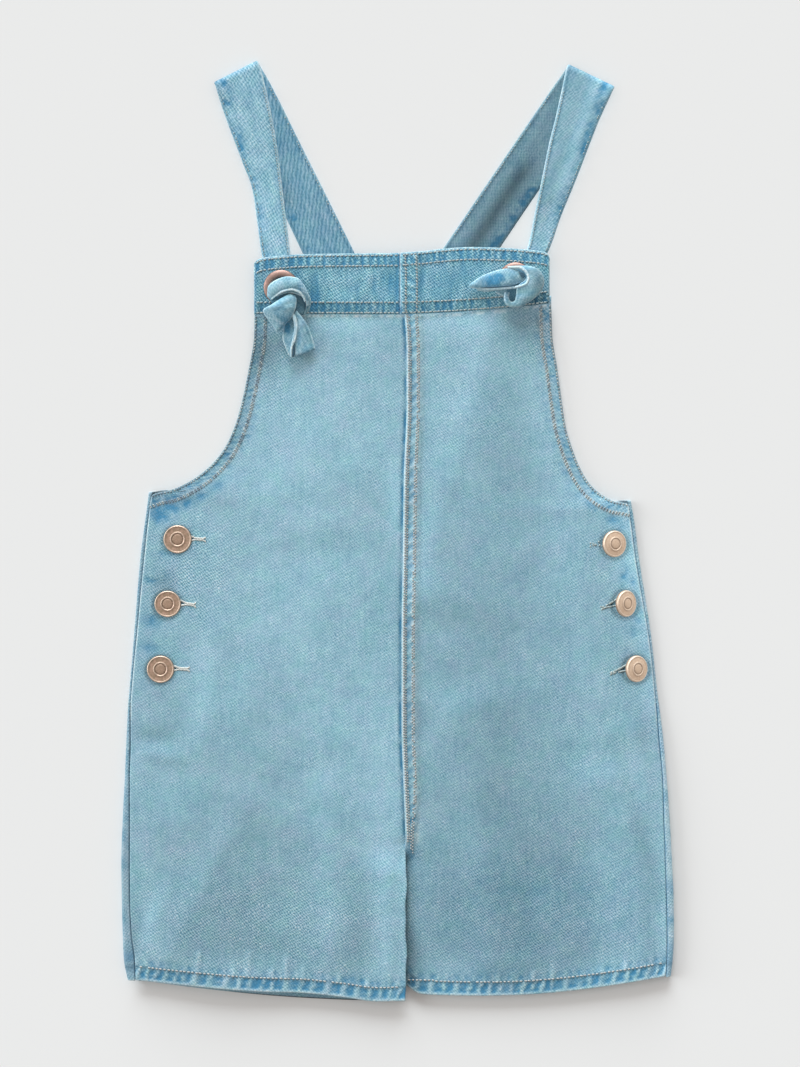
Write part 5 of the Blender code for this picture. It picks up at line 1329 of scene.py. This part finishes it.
# ---- stitches ------------------------------------------------------------------------
def landing(*names):
    """Finds the top of the named pieces under a point, and which way it faces."""
    trees = [BVHTree.FromPolygons(*(each.tolist() for each in PATCH_OF[name])) for name in names]

    def find(x, y):
        best = None
        for tree in trees:
            spot, normal, _, _ = tree.ray_cast(Vector((x, y, ABOVE_ALL)), Vector((0, 0, -1)))
            if spot is not None and (best is None or spot.z > best[0].z):
                best = (spot, normal if normal.z > 0 else -normal)
        return best

    return find


def stitches(spots, length, radius, arch=0.32, sink=0.12, sides=6, rings=7):
    """Many stitches as one mesh. A spot: its point, normal, way along, length share, 1 if dark (a stitch
    painted in the groove colour as shade between stitches).
    """
    u = np.linspace(-1, 1, rings)[:, None]
    girth = radius * np.sqrt(np.maximum(1 - np.abs(u) ** 5, 0.02))
    rise = arch * (1 - u ** 2) - sink
    turn = np.linspace(0, 2 * math.pi, sides, endpoint=False)
    place, normal, along, size, dark = (np.array(each, float) for each in zip(*spots))
    normal /= np.linalg.norm(normal, axis=1)[:, None]
    along = along - normal * (along * normal).sum(axis=1)[:, None]
    along /= np.linalg.norm(along, axis=1)[:, None]
    across = np.cross(normal, along)
    half = length / 2 * size[:, None, None]
    place = place[:, None, None]
    for way, reach in ((along, u * half), (across, girth * np.cos(turn)),
                       (normal, rise + 0.85 * girth * np.sin(turn))):
        place = place + way[:, None, None] * reach[..., None]
    count, ring = len(spots), rings * sides
    index = np.arange(ring).reshape(rings, sides)
    ahead = np.roll(index, -1, axis=1)
    round_about = np.stack([index[:-1], ahead[:-1], ahead[1:], index[1:]], axis=-1).reshape(-1, 4)
    low = np.array([[0, 5, 4, 1], [1, 4, 3, 2]])
    one = np.vstack([round_about, low, low[:, ::-1] + (rings - 1) * sides])
    faces = (one[None] + (np.arange(count) * ring)[:, None, None]).reshape(-1, 4)
    shift = (np.arange(count) * 2.7)[:, None, None]
    cloth = np.stack(np.broadcast_arrays(turn * radius + shift, u * length + shift * 0.6), axis=-1)
    marks = plain_marks(count * ring, groove=np.repeat(dark, ring))
    return Part(place.reshape(-1, 3), faces, cloth.reshape(-1, 2), marks)


def row_of_stitches(line, find, pitch, seed, slant=0.0, start=0.0, skip=0.0, share=1.0, dark=0.0):
    """Where the stitches of one row sit, as spots."""
    rng = np.random.default_rng(seed)
    spots, place = [], start + pitch / 2
    while place < line.length - pitch / 3:
        at = place + rng.normal(0, 0.08) * pitch
        x, y, way_x, way_y = (np.interp(at, line.at, each) for each in (*line.points.T, *line.way.T))
        found = find(x, y)
        # dark is the share of stitches painted dark, as shade between stitches.
        if found is not None and rng.random() >= skip:
            a = math.radians(slant + rng.normal(0, 4))
            c, s = math.cos(a), math.sin(a)
            spots.append((*found, (way_x * c - way_y * s, way_x * s + way_y * c, 0),
                          share * rng.uniform(0.85, 1.1), rng.random() < dark))
        place += pitch
    return spots


def shifted(line, by):
    """A line beside another one; above 0 is to its left."""
    return Line(line.points + np.column_stack([-line.way[:, 1], line.way[:, 0]]) * by)


def front_stitches():
    """The rows along the armholes, the leg hems and the centre seam."""
    find, spots = landing("denim_front_left", "denim_front_right"), []

    def sew(line, pitch, seed, **how):
        spots.extend(row_of_stitches(line, find, pitch, seed, **how))

    for side in SIDES:
        left = side == "left"
        toward = 1 if left else -1
        for by, slant, start in ((0.9, -14, 0), (ARMHOLE_HEM - 0.45, -32, 0), (ARMHOLE_HEM + 0.5, 32, 0.9)):
            sew(shifted(armhole_line(side), toward * by), 1.9, 5, slant=slant * toward, start=start,
                share=0.72, dark=0.3 if left else 0.12)
        row = front_rows(side, np.full(1, len(FRONT[side]) - 1.0))
        middle = front_section(side, row, lambda width: width * np.linspace(0.012, 0.985, 60))[0]
        edge = middle[0, :, :2] + [0, LEG_HEM]
        if not left:
            level = edge[np.argmin(np.abs(edge[:, 0] - 22)), 1] + 0.5
            edge[:, 1] = np.where(edge[:, 0] < 22, level, edge[:, 1])
        sew(Line(edge), 2.4, 7, slant=-8, skip=0.03, dark=0.15)
    y = np.linspace(129, -186, 80)
    fell = Line(np.column_stack([seam_at(y), y]))
    sew(shifted(fell, 1.3), 1.6, 9, slant=45, share=0.7)
    sew(shifted(fell, 2.5), 1.6, 9, slant=45, start=0.5, share=0.5, skip=0.15, dark=0.6)
    y = np.linspace(129, -193, 80)
    x = seam_at(y) + FELL_WIDTH - 3.2 * ease((-150 - y) / 40)
    for aside, slant, start, seed in ((-0.5, 40, 40 / 44, 10), (0.5, -40, 0, 12)):
        sew(Line(np.column_stack([x + aside, y])), 1.8, seed, slant=slant, start=start, skip=0.1, share=0.6,
            dark=0.22)
    return spots


def band_stitches():
    """The four rows along the band, and the two beside its centre seam."""
    find, spots = landing("denim_band_left", "denim_band_right"), []
    for side in SIDES:
        rows = np.array(BAND[side])
        x = np.linspace(rows[0, 0] * 0.985, rows[-1, 0], 60)
        rows = rows[np.argsort(rows[:, 0])]
        low, high = smooth(rows[:, 0], rows[:, 1:3], x).T
        for y in (high - 1.5, high - 7.6, low + 7.0, low + 0.9):
            spots += row_of_stitches(Line(np.column_stack([x, y])), find, 2.3, 12, slant=6)
    for x in (4.6, 11.2):
        spots += row_of_stitches(Line([(x, 165.5), (x + 0.4, 150), (x + 0.3, 131)]), find, 1.9, 13, slant=38)
    return spots


def strap_stitches():
    """The rows along the edges of the straps, before and behind the shoulder."""
    find, spots = landing("denim_strap_left", "denim_strap_right"), []

    def row(edge, other, inset, pitch, seed, skip):
        way = other - edge
        line = Line(edge + way * (inset / np.linalg.norm(way, axis=1)[:, None]))
        return row_of_stitches(line, find, pitch, seed, skip=skip)

    for side in SIDES:
        rows = np.array(STRAP_FRONT[side][:-1])
        outer, inner = rows[:, 0:2], rows[:, 2:4]
        spots += row(inner, outer, 1.5, 1.7, 15, 0.05) + row(outer, inner, 1.5, 1.7, 15, 0.4)
        rows = np.array(STRAP_BACK[side][4 if side == "left" else 7:])
        spots += [spot for spot in row(rows[:, 2:4], rows[:, 0:2], 1.2, 2.0, 16, 0.3) if spot[0].z < 2.6]
    return spots


def buttonhole_stitches():
    """The thread round the part of each buttonhole that its button doesn't cover."""
    find, spots = landing("denim_front_left", "denim_front_right"), []
    for side in SIDES:
        inward = 1 if side == "left" else -1
        for number, (button, hole) in enumerate(zip(BUTTONS[side], BUTTONHOLES[side])):
            rng = np.random.default_rng(40 + number)
            for place in np.arange(hole.rim, hole.end, 0.55):
                share = (place - hole.rim) / (hole.end - hole.rim)
                apart = (0.42 + 1.3 * max(0, (hole.joint - place) / (hole.joint - hole.rim))
                         + 0.5 * max(0, place - hole.end + 1.2))
                for up in (-1, 1):
                    y = button.y + 0.6 - hole.drop * share + up * apart + rng.normal(0, 0.06)
                    way = (inward * (1 - 0.7 * (place > hole.joint)), up * 0.9 + rng.normal(0, 0.2), 0)
                    if not hole.missing or rng.random() > hole.missing:
                        spots.append((*find(button.x + inward * place, y), way, rng.uniform(0.85, 1.1), 0))
    return spots


# ---- sizes and colours ---------------------------------------------------------------
FLOOR_HALF = 6.0                        # metres
CAMERA_AT = (0.0015, -0.0012)           # metres
WINDOW_COLOUR = (0.878, 0.955, 1.0)
ROOM_COLOUR = (1.0, 0.94, 0.895)


def number_property(name, description, default, **unit):
    return bpy.props.FloatProperty(name=name, description=description, default=default, **unit)


class DungareesSizes(bpy.types.PropertyGroup):
    """Sizes that a user would change."""
    stitch: number_property("Stitch length", "Length of a topstitch", 2.3 * MM, unit="LENGTH")
    thread: number_property("Thread radius", "Half the width of the thread", 0.46 * MM, unit="LENGTH")
    pucker: number_property("Pucker depth", "Depth of the dips beside a sewn edge, in millimetres", 0.32)
    fold_rise: number_property("Fold height", "Height of the laid folds, as a share of their own", 1.0)


def colour_property(name, description, colour):
    return bpy.props.FloatVectorProperty(name=name, description=description, subtype="COLOR", size=3,
                                         min=0.0, max=1.0, default=linear(colour))


class DungareesDenim(bpy.types.PropertyGroup):
    """Colours of the denim and its thread."""
    deep: colour_property("Deep", "Darkest yarns", (64, 110, 136))
    dark: colour_property("Dark", "Dark yarns", (102, 150, 171))
    middle: colour_property("Middle", "The wash as a whole", (140, 182, 199))
    light: colour_property("Light", "Light yarns", (172, 207, 221))
    pale: colour_property("Pale", "Bare white yarns", (214, 230, 236))
    patch: colour_property("Patch", "Unworn blue in the dips beside a seam", (58, 134, 175))
    worn: colour_property("Worn", "Worn edges", (202, 214, 215))
    # The groove colour is also painted shade: in slits, in the knots' openings, beside overlapping edges and
    # on stitches standing for the gaps between stitches.
    groove: colour_property("Groove", "Cloth pressed down under a row of stitches", (70, 106, 130))
    thread: colour_property("Thread", "Topstitching thread", (172, 183, 179))
    thread_blue: colour_property("Stained thread", "Thread that took some indigo", (128, 152, 162))


class DungareesStage(bpy.types.PropertyGroup):
    """The surface, the light and the camera."""
    floor: colour_property("Surface", "The plain surface that the garment lies on", (231, 230, 229))
    sun: number_property("Window light", "Strength of the top window's light", 5.5)
    side_share: number_property("Left window", "Strength of the left window, as a share", 0.42)
    sky: number_property("Room light", "Strength of the light from all round", 0.49)
    camera_height: number_property("Camera height", "Camera above the surface", 1.6005, unit="LENGTH")


class DUNGAREES_OT_stage(bpy.types.Operator):
    """Lays the plain surface and sets the light and the camera"""
    bl_idname = "dungarees.stage"
    bl_label = "Stage"

    def execute(self, context):
        stage = context.scene.dungarees_stage
        mesh = bpy.data.meshes.new("floor")
        half = FLOOR_HALF
        mesh.from_pydata([(-half, -half, 0), (half, -half, 0), (half, half, 0), (-half, half, 0)], [],
                         [(0, 1, 2, 3)])
        f = Finish("plain_surface")
        place = f.add("NewGeometry", {}, "Position")
        mesh.materials.append(f.surface(
            Base_Color=opaque(stage.floor), Roughness=f.line(f.noise(place, 30.0), 0.04, 0.9),
            Specular_IOR_Level=0.0))
        place_in_scene(bpy.data.objects.new("floor", mesh))
        camera = place_in_scene(bpy.data.objects.new("camera", bpy.data.cameras.new("camera")))
        camera.data.lens, camera.data.sensor_width = 90.0, 36.0
        camera.location = (*CAMERA_AT, stage.camera_height)
        context.scene.camera = camera
        for name, share, angle, way in (("top_window", 1.0, 44, (-0.07, 0.95, 0.23)),
                                        ("left_window", stage.side_share, 40, (-0.93, 0.20, 0.25))):
            light = bpy.data.lights.new(name, "SUN")
            light.energy, light.angle = stage.sun * share, math.radians(angle)
            light.color = WINDOW_COLOUR
            sun = place_in_scene(bpy.data.objects.new(name, light))
            sun.rotation_euler = Vector(way).normalized().to_track_quat("Z", "Y").to_euler()
            sun.light_linking.blocker_collection = bpy.data.collections.new(f"past_{name}")
        world = bpy.data.worlds.new("room")
        world.use_nodes = True
        sky = world.node_tree.nodes["Background"]
        sky.inputs["Color"].default_value = opaque(ROOM_COLOUR)
        sky.inputs["Strength"].default_value = stage.sky
        context.scene.world = world
        view = context.scene.view_settings
        view.view_transform, view.look, view.exposure, view.gamma = "Standard", "None", 0.0, 1.0
        return {"FINISHED"}


class DUNGAREES_OT_fronts(bpy.types.Operator):
    """Makes the two front panels and their turned edges"""
    bl_idname = "dungarees.fronts"
    bl_label = "Front panels"

    def execute(self, context):
        finish = denim("front_denim", shift=(1.0, 0.965, 0.95))
        for side in SIDES:
            front_piece(side, finish)
        return {"FINISHED"}


class DUNGAREES_OT_backs(bpy.types.Operator):
    """Makes the two back panels with their side folds and button stands"""
    bl_idname = "dungarees.backs"
    bl_label = "Back panels"

    def execute(self, context):
        finish = denim("back_denim", shift=(0.84, 0.86, 0.88))
        for side in SIDES:
            back_piece(side, finish)
        return {"FINISHED"}


class DUNGAREES_OT_band(bpy.types.Operator):
    """Makes the stitched band across the bib"""
    bl_idname = "dungarees.band"
    bl_label = "Bib band"

    def execute(self, context):
        finish = denim("band_denim", shift=(0.69, 0.86, 0.88), contrast=1.5)
        for side in SIDES:
            band_piece(side, finish)
        return {"FINISHED"}


class DUNGAREES_OT_straps(bpy.types.Operator):
    """Makes the shoulder straps and their knots"""
    bl_idname = "dungarees.straps"
    bl_label = "Straps and knots"

    def execute(self, context):
        weave = {"left": denim("strap_denim_left", contrast=1.2, streak=0.35,
                               twill=((0.576, -0.217), (0.285, 0.397))),
                 "right": denim("strap_denim_right", contrast=0.85, streak=0.35,
                                twill=((0.50, -0.36), (0.30, 0.42)))}
        soft = denim("knot_denim", shift=(1.0, 0.985, 0.965), contrast=0.95, streak=0.3)
        for side in SIDES:
            strap_piece(side, weave[side])
            knot_piece(side, soft)
        return {"FINISHED"}


class DUNGAREES_OT_metal(bpy.types.Operator):
    """Makes the tack buttons and the eyelets"""
    bl_idname = "dungarees.metal"
    bl_label = "Buttons and eyelets"

    def execute(self, context):
        rose = copper_finish("worn_copper", (0.68, 0.455, 0.35), (0.40, 0.30, 0.20))
        dark = copper_finish("eyelet_copper", (0.33, 0.175, 0.145), (0.21, 0.12, 0.10))
        gold = copper_finish("pale_copper", (0.92, 0.70, 0.52), (0.80, 0.58, 0.42), 0.75, 0.4)
        looks = {"left": (rose, -1, 0.6, 0.0), "right": (gold, 1, -1.0, 1.1)}
        for side in SIDES:
            finish, outward, aside, dome = looks[side]
            for number, (button, size) in enumerate(zip(BUTTONS[side], BUTTON_SIZES[side]), start=1):
                part = lathe(BUTTON_FACE, 72, (button.x + aside, button.y, button.z), button.lean * 1.12,
                             outward, size, dome)
                make(f"tack_button_{side}_{number}", part, finish, "copper", f"button_{side}_{number}")
            make(f"eyelet_ring_{side}", lathe(EYELET_FACE, 72, (*EYELETS[side], 0)), dark, "copper",
                 f"eyelet_{side}")
        return {"FINISHED"}


class DUNGAREES_OT_stitching(bpy.types.Operator):
    """Sews the rows of topstitching and the buttonholes"""
    bl_idname = "dungarees.stitching"
    bl_label = "Stitching"

    def execute(self, context):
        sizes = context.scene.dungarees_sizes
        length, radius = sizes.stitch / MM, sizes.thread / MM
        finish = thread_finish("topstitch_thread")
        sewn = stitches(front_stitches(), 0.8 * length, radius)
        x, y = sewn.points[:, 0], sewn.points[:, 1]
        places = [y < -230, np.abs(x - 7) < 12, x > 60]
        sewn.marks["tone"] = np.select(places, [0.05, 0.33, 0.06], -0.06)
        sewn.marks["worn"] = np.select(places, [0.8, 0.9, 0.5], 0.3)
        make("topstitching_fronts", sewn, finish, "thread")
        sewn = stitches(band_stitches(), 0.9 * length, radius)
        sewn.marks["worn"] += 0.12
        make("topstitching_band", sewn, finish, "thread")
        make("topstitching_straps", stitches(strap_stitches(), 1.15, 0.3, arch=0.2), finish, "thread")
        sewn = stitches(buttonhole_stitches(), 1.35, 0.4, arch=0.22, sink=0.04)
        sewn.marks["tone"] -= 0.5 * (sewn.points[:, 0] > 0)
        make("buttonhole_thread", sewn, thread_finish("buttonhole_thread", 0.55), "thread")
        return {"FINISHED"}


class DUNGAREES_PT_panel(bpy.types.Panel):
    """Lists the garment's pieces, sizes and colours"""
    bl_label = "Dungarees"
    bl_idname = "DUNGAREES_PT_panel"
    bl_space_type = "VIEW_3D"
    bl_region_type = "UI"
    bl_category = "Dungarees"

    def draw(self, context):
        column = self.layout.column()
        for group in GROUPS:
            settings = getattr(context.scene, group)
            for name in settings.bl_rna.properties.keys():
                if name not in ("rna_type", "name"):
                    column.prop(settings, name)
        for operator in STEPS:
            column.operator(operator.bl_idname)


STEPS = (DUNGAREES_OT_stage, DUNGAREES_OT_backs, DUNGAREES_OT_fronts, DUNGAREES_OT_band,
         DUNGAREES_OT_straps, DUNGAREES_OT_metal, DUNGAREES_OT_stitching)
GROUPS = {"dungarees_sizes": DungareesSizes, "dungarees_denim": DungareesDenim,
          "dungarees_stage": DungareesStage}


def register():
    for each in (*GROUPS.values(), *STEPS, DUNGAREES_PT_panel):
        bpy.utils.register_class(each)
    for name, group in GROUPS.items():
        setattr(bpy.types.Scene, name, bpy.props.PointerProperty(type=group))


def unregister():
    for name in GROUPS:
        delattr(bpy.types.Scene, name)
    for each in reversed((*GROUPS.values(), *STEPS, DUNGAREES_PT_panel)):
        bpy.utils.unregister_class(each)


def main():
    register()
    bpy.ops.dungarees.stage()
    bpy.ops.dungarees.backs()
    bpy.ops.dungarees.fronts()
    bpy.ops.dungarees.band()
    bpy.ops.dungarees.straps()
    bpy.ops.dungarees.metal()
    bpy.ops.dungarees.stitching()


if __name__ == "__main__":
    main()
